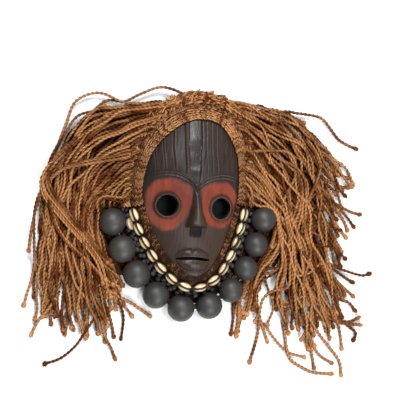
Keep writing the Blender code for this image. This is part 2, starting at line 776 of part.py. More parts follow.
def hair_mass(name, side):
    guides = hair_guides(side)
    track = upper_track()
    across = 3
    columns = HAIR_LOCKS * across
    bm = bmesh.new()
    upper = []
    lower = []
    for c in range(columns + 1):
        share = c / columns
        lock = min(c // across, HAIR_LOCKS - 1)
        valley = c % across == 0
        outer_column = c in (0, columns)
        reach = lock_length(lock)
        if valley:
            reach = LOCK_NOTCH if not outer_column else 0.9
        line = []
        base = []
        for r in range(HAIR_ROWS + 1):
            along = reach * r / HAIR_ROWS
            if r == 0:
                point = root_point(track, side, share)
            else:
                point = smooth_run([smooth_run(g, along) for g in guides], share)
            if along < 0.3:
                height = HAIR_ROOT_HEIGHT + (HAIR_HEIGHT - HAIR_ROOT_HEIGHT) * step_up(along / 0.3)
            else:
                height = HAIR_HEIGHT + (HAIR_TIP_HEIGHT - HAIR_HEIGHT) * step_up((along - 0.3) / 0.7)
            if valley:
                height *= LOCK_VALLEY
            if outer_column:
                height *= 0.6
            line.append(bm.verts.new((point.x, point.y, height)))
            base.append(bm.verts.new((point.x, point.y, 0)))
        upper.append(line)
        lower.append(base)
    for c in range(columns):
        for r in range(HAIR_ROWS):
            bm.faces.new((upper[c][r], upper[c][r + 1], upper[c + 1][r + 1], upper[c + 1][r]))
            bm.faces.new((lower[c][r], lower[c + 1][r], lower[c + 1][r + 1], lower[c][r + 1]))
        for r in (0, HAIR_ROWS):
            bm.faces.new((upper[c][r], upper[c + 1][r], lower[c + 1][r], lower[c][r]))
    for c in (0, columns):
        for r in range(HAIR_ROWS):
            bm.faces.new((upper[c][r], upper[c][r + 1], lower[c][r + 1], lower[c][r]))
    under = [f for f in bm.faces if all(v.co.z == 0 for v in f.verts)]
    bmesh.ops.dissolve_faces(bm, faces=under)
    mass = finish(name, bm, hair_fibre, 60)
    for strays, root in ((HIGH_STRAYS, guides[0][0]), (LOW_STRAYS, guides[-1][0])):
        for route in strays[side]:
            points = [root + Vector(step) * HAIR_STEP for step in route]
            cut_with(mass, stray_cord(points), "UNION")
    return mass


def stray_cord(points):
    track = Track([smooth_run(points, i / 40) for i in range(41)])
    count = max(4, round(track.length / STRAY_STEP))
    rings = []
    for i in range(count + 1):
        distance = track.length * i / count
        centre = track.at(distance)
        normal = track.normal(distance)
        radius = STRAY_RADIUS * (1.5 if i == count - 1 else 1)
        lift = STRAY_RADIUS * 1.5 + GAP
        ring = []
        for k in range(STRAY_SIDES):
            turn = 2 * math.pi * k / STRAY_SIDES
            sideways = normal * (math.cos(turn) * radius)
            ring.append((centre.x + sideways.x, centre.y + sideways.y,
                         lift + math.sin(turn) * radius))
        rings.append(ring)
    return finish("stray", swept(rings), hair_fibre)


make_wood()
make_band()
make_strip()
make_cowries()
make_beads()
make_balls()
hair_mass("hair_left", -1)
hair_mass("hair_right", 1)
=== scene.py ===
# Tribal mask lying on its back: the finish of every surface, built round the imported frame.
import math
import random

import bmesh
import bpy
import numpy as np
from mathutils import Matrix, Vector, noise


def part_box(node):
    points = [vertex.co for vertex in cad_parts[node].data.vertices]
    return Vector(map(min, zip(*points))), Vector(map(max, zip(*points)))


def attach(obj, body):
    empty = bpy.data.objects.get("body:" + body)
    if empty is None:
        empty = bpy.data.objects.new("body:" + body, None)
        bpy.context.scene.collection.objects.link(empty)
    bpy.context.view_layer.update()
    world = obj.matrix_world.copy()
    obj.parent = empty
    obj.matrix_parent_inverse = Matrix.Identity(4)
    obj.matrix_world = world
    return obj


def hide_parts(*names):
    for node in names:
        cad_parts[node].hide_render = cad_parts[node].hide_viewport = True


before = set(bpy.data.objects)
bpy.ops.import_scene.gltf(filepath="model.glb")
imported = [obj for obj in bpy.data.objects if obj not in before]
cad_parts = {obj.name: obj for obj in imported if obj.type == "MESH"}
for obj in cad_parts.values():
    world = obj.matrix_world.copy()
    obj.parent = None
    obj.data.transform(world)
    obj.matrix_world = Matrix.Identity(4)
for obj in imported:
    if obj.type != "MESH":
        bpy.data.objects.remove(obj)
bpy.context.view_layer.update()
mm = 0.001
print("frame loaded", len(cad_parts), "nodes")


# Objects

def placeNew(name, data):
    made = bpy.data.objects.new(name, data)
    bpy.context.scene.collection.objects.link(made)
    return made


def addMesh(name, bm):
    mesh = bpy.data.meshes.new(name)
    bm.to_mesh(mesh)
    bm.free()
    mesh.shade_smooth()
    return placeNew(name, mesh)


def solidMesh(name, verts, faces):
    # Closed solid from points and faces, turned outwards.
    mesh = bpy.data.meshes.new(name)
    mesh.from_pydata(verts, [], faces)
    bm = bmesh.new()
    bm.from_mesh(mesh)
    bmesh.ops.recalc_face_normals(bm, faces=bm.faces)
    bm.to_mesh(mesh)
    bm.free()
    return placeNew(name, mesh)


def sweep(name, rings):
    # Closed solid through rings of equal count.
    bm = bmesh.new()
    made = [[bm.verts.new(p) for p in ring] for ring in rings]
    count = len(made[0])
    for a, b in zip(made, made[1:]):
        for i in range(count):
            j = (i + 1) % count
            bm.faces.new((a[i], a[j], b[j], b[i]))
    bm.faces.new(list(reversed(made[0])))
    bm.faces.new(made[-1])
    bmesh.ops.recalc_face_normals(bm, faces=bm.faces)
    return addMesh(name, bm)


# Camera and studio

view = {
    "target": (6.8 * mm, -127.3 * mm, 20 * mm),
    "distance": 1.783,
    "lens": 110,
    "yaw": math.radians(12),       # from the mask's own left
    "roll": math.radians(3.6),
}


def makeCamera():
    camera = placeNew("camera", bpy.data.cameras.new("camera"))
    camera.data.lens = view["lens"]
    camera.data.clip_start = 0.05
    camera.data.clip_end = 20
    yaw, roll = view["yaw"], view["roll"]
    back = Vector((-math.sin(yaw), 0, math.cos(yaw)))
    level = Vector((math.cos(yaw), 0, math.sin(yaw)))
    right = level * math.cos(roll) + Vector((0, math.sin(roll), 0))
    up = Vector((0, math.cos(roll), 0)) - level * math.sin(roll)
    turn = Matrix((right, up, back)).transposed().to_4x4()
    camera.matrix_world = Matrix.Translation(Vector(view["target"]) + back * view["distance"]) @ turn
    bpy.context.scene.camera = camera


studio = {
    "world": 0.33,
    "lights": {
        "topLight": {"place": (-0.25, 1.00, 1.45), "size": 0.7, "power": 34},
        "lowLight": {"place": (0.35, -1.50, 1.35), "size": 0.8, "power": 28},
        "frontLight": {"place": (0.36, -0.10, 1.90), "size": 0.5, "power": 13},
    },
    "floorColour": (0.93, 0.93, 0.93), "floorHalf": 4,
    # Out of sight under the face the floor carries a painted shadow, a dark patch, so that the eye holes look
    # into shade.
    "shadeColour": (0.03, 0.028, 0.03), "shadeMiddle": (-0.008, -0.125), "shadeReach": (0.068, 0.105),
}


def makeStudio():
    scene = bpy.context.scene
    scene.view_settings.view_transform = "Standard"
    world = bpy.data.worlds.new("studio")
    scene.world = world
    world.use_nodes = True
    background = world.node_tree.nodes["Background"].inputs
    background["Color"].default_value = (1, 1, 1, 1)
    background["Strength"].default_value = studio["world"]
    for name, facts in studio["lights"].items():
        lamp = bpy.data.lights.new(name, "AREA")
        lamp.shape = "DISK"
        lamp.size = facts["size"]
        lamp.energy = facts["power"]
        lit = placeNew(name, lamp)
        lit.location = facts["place"]
        aim = Vector(view["target"]) - Vector(facts["place"])
        lit.rotation_euler = aim.to_track_quat("-Z", "Y").to_euler()
    bm = bmesh.new()
    bmesh.ops.create_grid(bm, x_segments=1, y_segments=1, size=studio["floorHalf"])
    floor = addMesh("floor", bm)
    finish, tree, surface = newMaterial("pale_floor", studio["floorColour"], 0.9)
    surface["Specular IOR Level"].default_value = 0.1
    (middleX, middleY), (reachX, reachY) = studio["shadeMiddle"], studio["shadeReach"]
    place = addNode(tree, "ShaderNodeVectorMath",
                    {0: objectPlace(tree), 1: (1 / reachX, 1 / reachY, 0),
                     2: (-middleX / reachX, -middleY / reachY, 0)},
                    operation="MULTIPLY_ADD")
    away = addNode(tree, "ShaderNodeVectorMath", {0: place.outputs[0]}, operation="LENGTH")
    # Painted shadow: the floor goes dark under the face.
    under = rampNode(tree, away.outputs["Value"], 1.0, 0.92)
    feed(tree, surface["Base Color"], mixColour(tree, under, studio["floorColour"], studio["shadeColour"]))
    setMaterial(floor, finish)


# Nodes, for shaders and for geometry

def feed(tree, socket, value):
    # Links another socket, or sets a plain value.
    if isinstance(value, bpy.types.NodeSocket):
        tree.links.new(value, socket)
    else:
        socket.default_value = value


def addNode(tree, kind, inputs, **settings):
    # Inputs go by the socket's name or number.
    node = tree.nodes.new(kind)
    for key, value in settings.items():
        setattr(node, key, value)
    for key, value in inputs.items():
        feed(tree, node.inputs[key], value)
    return node


def newTree(kind, name, inputs, outputs):
    tree = bpy.data.node_groups.new(name, kind)
    for label, sort, *value in inputs:
        socket = tree.interface.new_socket(label, in_out="INPUT", socket_type="NodeSocket" + sort)
        if value:
            socket.default_value = value[0]
    for label, sort in outputs:
        tree.interface.new_socket(label, in_out="OUTPUT", socket_type="NodeSocket" + sort)
    return tree, tree.nodes.new("NodeGroupInput").outputs, tree.nodes.new("NodeGroupOutput").inputs


def mathNode(tree, operation, first, second, clamp=False):
    return addNode(tree, "ShaderNodeMath", {0: first, 1: second},
                   operation=operation, use_clamp=clamp).outputs[0]


def times(tree, first, second):
    return mathNode(tree, "MULTIPLY", first, second)


def scaleVector(tree, vector, factor):
    return addNode(tree, "ShaderNodeVectorMath", {0: vector, "Scale": factor}, operation="SCALE").outputs[0]


def noiseNode(tree, place, scale, detail, roughness=0.5):
    return addNode(tree, "ShaderNodeTexNoise", {"Vector": place, "Scale": scale, "Detail": detail,
                                                "Roughness": roughness}).outputs["Fac"]


# Finishes

def newMaterial(name, colour, roughness):
    made = bpy.data.materials.new(name)
    made.use_nodes = True
    surface = made.node_tree.nodes["Principled BSDF"].inputs
    surface["Base Color"].default_value = (*colour, 1)
    surface["Roughness"].default_value = roughness
    return made, made.node_tree, surface


def mixColour(tree, share, first, second):
    first, second = ((*c, 1) if isinstance(c, tuple) else c for c in (first, second))
    return addNode(tree, "ShaderNodeMix", {"Factor": share, 6: first, 7: second},
                   data_type="RGBA").outputs[2]


def tint(tree, base, colour, mask, share):
    # Lays a colour over the base through part of a mask.
    return mixColour(tree, times(tree, mask, share), base, colour)


def rampNode(tree, value, low, high, toLow=0.0, toHigh=1.0):
    return addNode(tree, "ShaderNodeMapRange", {"Value": value, "From Min": low, "From Max": high,
                                                "To Min": toLow, "To Max": toHigh},
                   interpolation_type="SMOOTHSTEP").outputs["Result"]


def maskNode(tree, name):
    return addNode(tree, "ShaderNodeAttribute", {}, attribute_name=name).outputs["Fac"]


def objectPlace(tree):
    return addNode(tree, "ShaderNodeTexCoord", {}).outputs["Object"]


def bump(tree, height, strength, distance):
    return addNode(tree, "ShaderNodeBump", {"Height": height, "Strength": strength,
                                            "Distance": distance}).outputs["Normal"]


def mottleGroup():
    # Two sizes of blotch on object coordinates, for colour and for bump.
    tree, start, end = newTree(
        "ShaderNodeTree", "mottle",
        [("Broad scale", "Float", 30.0), ("Fine scale", "Float", 400.0), ("Stretch", "Vector", (1, 1, 1))],
        [("Broad", "Float"), ("Fine", "Float")])
    place = addNode(tree, "ShaderNodeVectorMath", {0: objectPlace(tree), 1: start["Stretch"]},
                    operation="MULTIPLY").outputs[0]
    for label, detail in (("Broad", 4.0), ("Fine", 3.0)):
        feed(tree, end[label], noiseNode(tree, place, start[label + " scale"], detail, 0.6))
    return tree


mottle = mottleGroup()


def fibreGroup():
    # Fine plant fibres, coloured by the attributes of a cord or a stitch. Crease paints shade dark, and depth
    # dims what lies deep in a pile, as shade.
    tree, start, end = newTree(
        "ShaderNodeTree", "fibre",
        [(label, "Color", (0, 0, 0, 1)) for label in ("Dark", "Middle", "Light")]
        + [("Crease", "Float", 0.0), ("Shade", "Float", 0.5), ("Depth", "Float", 0.0),
           ("Low tone", "Float", 0.25), ("High tone", "Float", 0.85)],
        [("Colour", "Color"), ("Height", "Float")])
    place = objectPlace(tree)
    strands = noiseNode(tree, place, 900, 3)
    tone = mathNode(tree, "ADD", times(tree, noiseNode(tree, place, 45, 4), 0.75),
                    times(tree, start["Shade"], 0.55))
    lift = rampNode(tree, tone, start["Low tone"], start["High tone"])
    base = mixColour(tree, lift, start["Middle"], start["Light"])
    speck = rampNode(tree, strands, 0.36, 0.62, 0.62, 1.08)
    depthShade = mathNode(tree, "SUBTRACT", 1.0, times(tree, start["Depth"], 0.91))
    shaded = scaleVector(tree, base, times(tree, speck, depthShade))
    feed(tree, end["Colour"], mixColour(tree, start["Crease"], shaded, start["Dark"]))
    feed(tree, end["Height"], strands)
    return tree


fibre = fibreGroup()


def cordMaterial(name, dark, middle, light, tones):
    made, tree, surface = newMaterial(name, middle, 0.75)
    group = addNode(tree, "ShaderNodeGroup", {
        "Dark": (*dark, 1), "Middle": (*middle, 1), "Light": (*light, 1),
        "Crease": maskNode(tree, "crease"), "Shade": maskNode(tree, "shade"),
        "Depth": maskNode(tree, "depth"), "Low tone": tones[0], "High tone": tones[1]},
        node_tree=fibre).outputs
    feed(tree, surface["Base Color"], group["Colour"])
    feed(tree, surface["Normal"], bump(tree, group["Height"], 0.5, 0.6 * mm))
    surface["Specular IOR Level"].default_value = 0.06
    return made

# Painted shade: the shell's sides and underside are marked as edge and turn dark brown.

def blotches(tree, broad, fine, stretch=(1, 1, 1)):
    group = addNode(tree, "ShaderNodeGroup", {"Broad scale": broad, "Fine scale": fine,
                                              "Stretch": stretch}, node_tree=mottle)
    return group.outputs["Broad"], group.outputs["Fine"]


faceMasks = ("groove", "raised", "warm", "paint", "paintedShade", "polish", "inside", "lower")


def woodMaterial():
    made, tree, surface = newMaterial("dark_wood_finish", (0.04, 0.03, 0.027), 0.4)
    broad, fine = blotches(tree, 22.0, 260.0, (1.6, 0.35, 1.0))
    mask = {name: maskNode(tree, name) for name in faceMasks}
    black = (0.006, 0.003, 0.002)
    slate = mixColour(tree, broad, (0.010, 0.006, 0.004), (0.030, 0.021, 0.018))
    brown = mixColour(tree, broad, (0.023, 0.013, 0.008), (0.050, 0.028, 0.018))
    streak = rampNode(tree, fine, 0.35, 0.75)
    body = mixColour(tree, mask["lower"], slate, brown)
    body = tint(tree, body, (0.050, 0.028, 0.021), streak, 0.35)
    # Painted highlight: raised ridges, rope turns, the eye rims' inner lips and the nose crest are lighter.
    body = tint(tree, body, (0.115, 0.085, 0.070), mask["raised"], 0.75)
    # Painted shade: grooves, the lines beside the brows, the hollow under the nose, the mouth's parting and
    # the gaps between rope turns go near black.
    body = tint(tree, body, black, mask["groove"], 0.85)
    # Painted shade: the left side of the face is blacker.
    split = addNode(tree, "ShaderNodeSeparateXYZ", {0: objectPlace(tree)})
    body = mixColour(tree, rampNode(tree, split.outputs["X"], -0.05, 0.04, 0.5, 1.0), black, body)
    body = tint(tree, body, (0.095, 0.032, 0.015), mask["warm"], 0.75)
    red = mixColour(tree, rampNode(tree, broad, 0.3, 0.7), (0.100, 0.018, 0.009), (0.250, 0.044, 0.019))
    red = tint(tree, red, (0.070, 0.016, 0.009), streak, 0.25)
    red = tint(tree, red, (0.060, 0.020, 0.013), mask["lower"], 0.3)
    # Painted shade darkens the red round the eye rims, towards the brows and beside the nose.
    red = mixColour(tree, mask["paintedShade"], red, (0.028, 0.008, 0.006))
    worn = times(tree, rampNode(tree, fine, 0.5, 0.85), 0.35)
    worn = mathNode(tree, "SUBTRACT", mask["paint"], worn, clamp=True)
    body = mixColour(tree, rampNode(tree, worn, 0.05, 0.9), body, red)
    raw = mixColour(tree, fine, (0.016, 0.011, 0.009), (0.034, 0.024, 0.018))
    feed(tree, surface["Base Color"], mixColour(tree, mask["inside"], body, raw))
    gloss = rampNode(tree, broad, 0.3, 0.7, 0.40, 0.56)
    gloss = mathNode(tree, "SUBTRACT", gloss, times(tree, mask["polish"], 0.12))
    for name, dull in (("paint", 0.30), ("groove", 0.30), ("inside", 0.40)):
        gloss = mathNode(tree, "ADD", gloss, times(tree, mask[name], dull), clamp=True)
    feed(tree, surface["Roughness"], gloss)
    feed(tree, surface["Normal"], bump(tree, fine, 0.35, 0.8 * mm))
    surface["Specular IOR Level"].default_value = 0.3
    return made


def seedMaterial():
    made, tree, surface = newMaterial("seed_finish", (0.026, 0.026, 0.026), 0.5)
    broad, fine = blotches(tree, 55.0, 900.0)
    colour = mixColour(tree, broad, (0.016, 0.016, 0.016), (0.032, 0.031, 0.030))
    colour = tint(tree, colour, (0.060, 0.056, 0.051), rampNode(tree, fine, 0.5, 0.8), 0.3)
    colour = tint(tree, colour, (0.042, 0.030, 0.026), maskNode(tree, "shade"), 0.5)
    feed(tree, surface["Base Color"], colour)
    feed(tree, surface["Normal"], bump(tree, fine, 0.4, 0.4 * mm))
    return made


def beadMaterial():
    made, tree, surface = newMaterial("bead_finish", (0.02, 0.02, 0.021), 0.65)
    surface["Specular IOR Level"].default_value = 0.35
    broad, fine = blotches(tree, 120.0, 700.0)
    feed(tree, surface["Base Color"], mixColour(tree, broad, (0.015, 0.014, 0.014), (0.050, 0.046, 0.045)))
    feed(tree, surface["Roughness"], rampNode(tree, fine, 0.3, 0.7, 0.5, 0.75))
    feed(tree, surface["Normal"], bump(tree, fine, 0.3, 0.5 * mm))
    return made


def shellMaterial():
    made, tree, surface = newMaterial("shell_finish", (0.80, 0.62, 0.40), 0.25)
    broad, fine = blotches(tree, 160.0, 900.0)
    slit = maskNode(tree, "slit")
    cream = mixColour(tree, broad, (0.56, 0.41, 0.21), (0.80, 0.66, 0.42))
    pink = mixColour(tree, broad, (0.42, 0.22, 0.13), (0.60, 0.38, 0.24))
    body = mixColour(tree, maskNode(tree, "blush"), cream, pink)
    # Painted shade darkens the shell's sides and underside.
    body = tint(tree, body, (0.085, 0.033, 0.012), maskNode(tree, "edge"), 0.92)
    # The slit is painted near black, as the shade inside the hollow shell.
    feed(tree, surface["Base Color"], mixColour(tree, slit, body, (0.014, 0.006, 0.003)))
    feed(tree, surface["Normal"], bump(tree, fine, 0.15, 0.2 * mm))
    feed(tree, surface["Roughness"], rampNode(tree, slit, 0.0, 0.5, 0.28, 0.9))
    return made


finishes = {
    "wood": woodMaterial(),
    "seed": seedMaterial(),
    "bead": beadMaterial(),
    "shell": shellMaterial(),
    "hair": cordMaterial("hair_cord_finish", (0.010, 0.0015, 0.0002), (0.120, 0.028, 0.004),
                         (0.58, 0.264, 0.103), tones=(0.35, 0.80)),
    "band": cordMaterial("band_finish", (0.018, 0.004, 0.001), (0.115, 0.034, 0.010),
                         (0.50, 0.235, 0.100), tones=(0.35, 0.85)),
    "strip": cordMaterial("strip_finish", (0.006, 0.003, 0.002), (0.034, 0.016, 0.008),
                          (0.26, 0.110, 0.040), tones=(0.62, 0.98)),
}
print("materials made")


# Outline of the wood, as the frame has it

face = {
    "rimTop": 6 * mm, "length": 257 * mm, "halfWidth": 83 * mm, "browDrop": 126 * mm,
    "bow": 10 * mm, "bowReach": 119.6 * mm,
    "topShoulder": 28 * mm, "templeShoulder": 17 * mm, "chinShoulder": 33 * mm,
    "domeRound": 2.2, "headRound": 2.2, "jawTaper": 1.4,
    "wall": 9 * mm, "rimWidth": 14 * mm,
    "profile": ((0.00, 30), (0.06, 41), (0.20, 53), (0.34, 59), (0.44, 54), (0.62, 50),
                (0.80, 50), (0.93, 47), (1.00, 34)),
    "eyeApart": 40 * mm, "eyeDrop": 144 * mm, "eyeHole": 15.5 * mm, "eyeRimWall": 3.0 * mm,
    "eyeRimProud": 5.5 * mm, "socketDepth": 6 * mm, "socketWidth": 36 * mm,
    "socketHeight": 34 * mm, "browMiddleDrop": 116 * mm, "browReach": 63 * mm,
    "noseDrop": 110 * mm, "noseLength": 60 * mm, "noseProud": 24 * mm, "noseBridge": 6 * mm,
    "noseWings": 16 * mm, "wingProud": 3.2 * mm, "hollowDepth": 2.6 * mm, "chinProud": 2.5 * mm,
    "mouthRise": 39 * mm, "mouthHalfWidth": 25 * mm, "mouthSlit": 4.4 * mm,
    "lipsHalfWidth": 25 * mm, "lipsHalfHeight": 18 * mm, "lipsProud": 9 * mm,
    "featureLean": 4.4 * mm, "noseLean": 3 * mm,
    "lean": ((0, 0), (0.25, 0.8), (0.4, 1), (0.6, 1), (0.78, 0.1), (0.9, 0), (1, 0)),
    "columns": 210, "rows": 300,
}
rimBottom = face["rimTop"] - face["length"]
widestY = face["rimTop"] - face["browDrop"]
lowerLength = face["length"] - face["browDrop"]


def smoothThrough(points, shares):
    # Catmull-Rom values at many shares, through (share, value) points.
    xs = np.array([p[0] for p in points], dtype=float)
    ys = np.array([p[1] for p in points], dtype=float)
    shares = np.clip(np.asarray(shares, dtype=float), xs[0], xs[-1])
    at = np.clip(np.searchsorted(xs, shares, side="right") - 1, 0, len(xs) - 2)
    before = ys[np.maximum(at - 1, 0)]
    here = ys[at]
    after = ys[at + 1]
    beyond = ys[np.minimum(at + 2, len(xs) - 1)]
    f = (shares - xs[at]) / (xs[at + 1] - xs[at])
    return 0.5 * (2 * here + (after - before) * f
                  + (2 * before - 5 * here + 4 * after - beyond) * f * f
                  + (3 * here - before - 3 * after + beyond) * f ** 3)


def stepUp(value):
    f = np.clip(value, 0, 1)
    return f * f * (3 - 2 * f)


def hump(distance, halfWidth):
    return np.maximum(0, 1 - (distance / halfWidth) ** 2)


def ridge(distance, halfWidth):
    # A rounded bead with soft feet.
    return np.exp(-(distance / halfWidth) ** 2 * 2)


def bowAt(y):
    return -face["bow"] * np.maximum(0, 1 - ((y - widestY) / face["bowReach"]) ** 2)


def halfWidthAt(y):
    y = np.asarray(y, dtype=float)
    up = np.clip((y - widestY) / face["browDrop"], 0, 1)
    down = np.clip((widestY - y) / lowerLength, 0, 1)
    high = (1 - up ** face["headRound"]) ** (1 / face["headRound"])
    low = np.sqrt(1 - down ** face["jawTaper"])
    return face["halfWidth"] * np.where(y > widestY, high, low)


def shoulderAt(y):
    y = np.asarray(y, dtype=float)
    up = np.clip((y - widestY) / face["browDrop"], 0, 1) ** 2
    down = np.clip((widestY - y) / lowerLength, 0, 1) ** 1.6
    temple = face["templeShoulder"]
    high = temple + (face["topShoulder"] - temple) * up
    low = temple + (face["chinShoulder"] - temple) * down
    return np.where(y > widestY, high, low)


def leanAt(y):
    # The carved features stand off the outline's middle from the brows to the eyes.
    return face["featureLean"] * smoothThrough(face["lean"], (face["rimTop"] - y) / face["length"])


def domeAt(x, y):
    middle = smoothThrough(face["profile"], (face["rimTop"] - y) / face["length"]) * mm
    u = np.clip(np.abs(x - bowAt(y)) / np.maximum(halfWidthAt(y), mm), 0, 1)
    return middle - (middle - shoulderAt(y)) * u ** face["domeRound"]


class Track:
    # A run of points that can be walked by length, with the outward side on its left.

    def __init__(self, points):
        self.points = np.array([(p[0], p[1]) for p in points])
        steps = np.hypot(*np.diff(self.points, axis=0).T)
        self.lengths = np.concatenate(([0], np.cumsum(steps)))
        self.length = float(self.lengths[-1])

    def at(self, distance):
        x = np.interp(distance, self.lengths, self.points[:, 0])
        y = np.interp(distance, self.lengths, self.points[:, 1])
        return Vector((float(x), float(y)))

    def forward(self, distance):
        reach = 3 * mm
        return (self.at(distance + reach) - self.at(distance - reach)).normalized()

    def normal(self, distance):
        ahead = self.forward(distance)
        return Vector((-ahead.y, ahead.x))

    def out(self, distance, offset):
        return self.at(distance) + self.normal(distance) * offset


def rimCurve():
    # Clockwise from the chin: left side up, right side down.
    steps = 1440
    points = []
    for i in range(steps):
        turn = -math.pi / 2 - 2 * math.pi * i / steps
        c, s = math.cos(turn), math.sin(turn)
        if s > 0:
            x = abs(c) ** (2 / face["headRound"])
            y = widestY + face["browDrop"] * s ** (2 / face["headRound"])
        else:
            x = abs(c)
            y = widestY - lowerLength * abs(s) ** (2 / face["jawTaper"])
        points.append((math.copysign(x * face["halfWidth"], c) + float(bowAt(y)), y))
    return points


bandEndLeft = rimBottom + 110 * mm
bandEndRight = rimBottom + 119 * mm
rim = rimCurve()
rimHalf = len(rim) // 2
upperTrack = Track([p for p in rim[:rimHalf] if p[1] > bandEndLeft]
                   + [p for p in rim[rimHalf:] if p[1] > bandEndRight])
lowerTrack = Track([p for p in rim[rimHalf:] if p[1] < bandEndRight]
                   + [p for p in rim[:rimHalf] if p[1] < bandEndLeft])


# Carved face

carving = {
    "brow": ((0, -111.5), (4, -105.5), (8, -102), (14, -97.5), (24, -93), (36, -90.5), (50, -90.8),
             (62, -94.5), (80, -104)),
    "browLine": 0.95 * mm, "browLinesApart": 4.4 * mm, "browProud": 1.5 * mm,
    "centre": ((0, -3), (0.2, -0.5), (0.41, 1.5), (0.6, 1.6), (0.8, 2.7), (1.0, 2.0), (1.6, 0)),
    "centreGroove": 0.8 * mm,
    "panelProud": 1.0 * mm, "panelDip": 2.1 * mm, "panelSwell": 0.62 * mm,
    # place, half width and depth of each upright groove, in millimetres
    "grooves": ((-67.5, 0.9, 0.9), (-56, 1.1, 1.1), (-42, 1.2, 1.2), (-26.2, 1.0, 1.2), (4.6, 0.6, 0.4),
                (12.8, 0.7, 0.5), (20.2, 0.8, 0.6), (26.6, 0.6, 0.4), (34.3, 0.7, 0.5), (43, 0.7, 0.5),
                (51, 0.7, 0.4)),
    "rope": -23.4, "ropeHalf": 1.4 * mm, "ropePitch": 4.4 * mm,
    "patch": (-55, -55),                # a short roped stretch further out
    "grain": 0.10 * mm,
}


def browLine(off):
    return smoothThrough(carving["brow"], np.abs(off) / mm) * mm


def centreLine(y):
    # The incised line wanders to one side half way up the forehead.
    share = (face["rimTop"] - y) / face["browMiddleDrop"]
    return smoothThrough(carving["centre"], share) * mm


def foreheadMask(off, y):
    return stepUp((y - browLine(off) - 2.5 * mm) / (4 * mm))


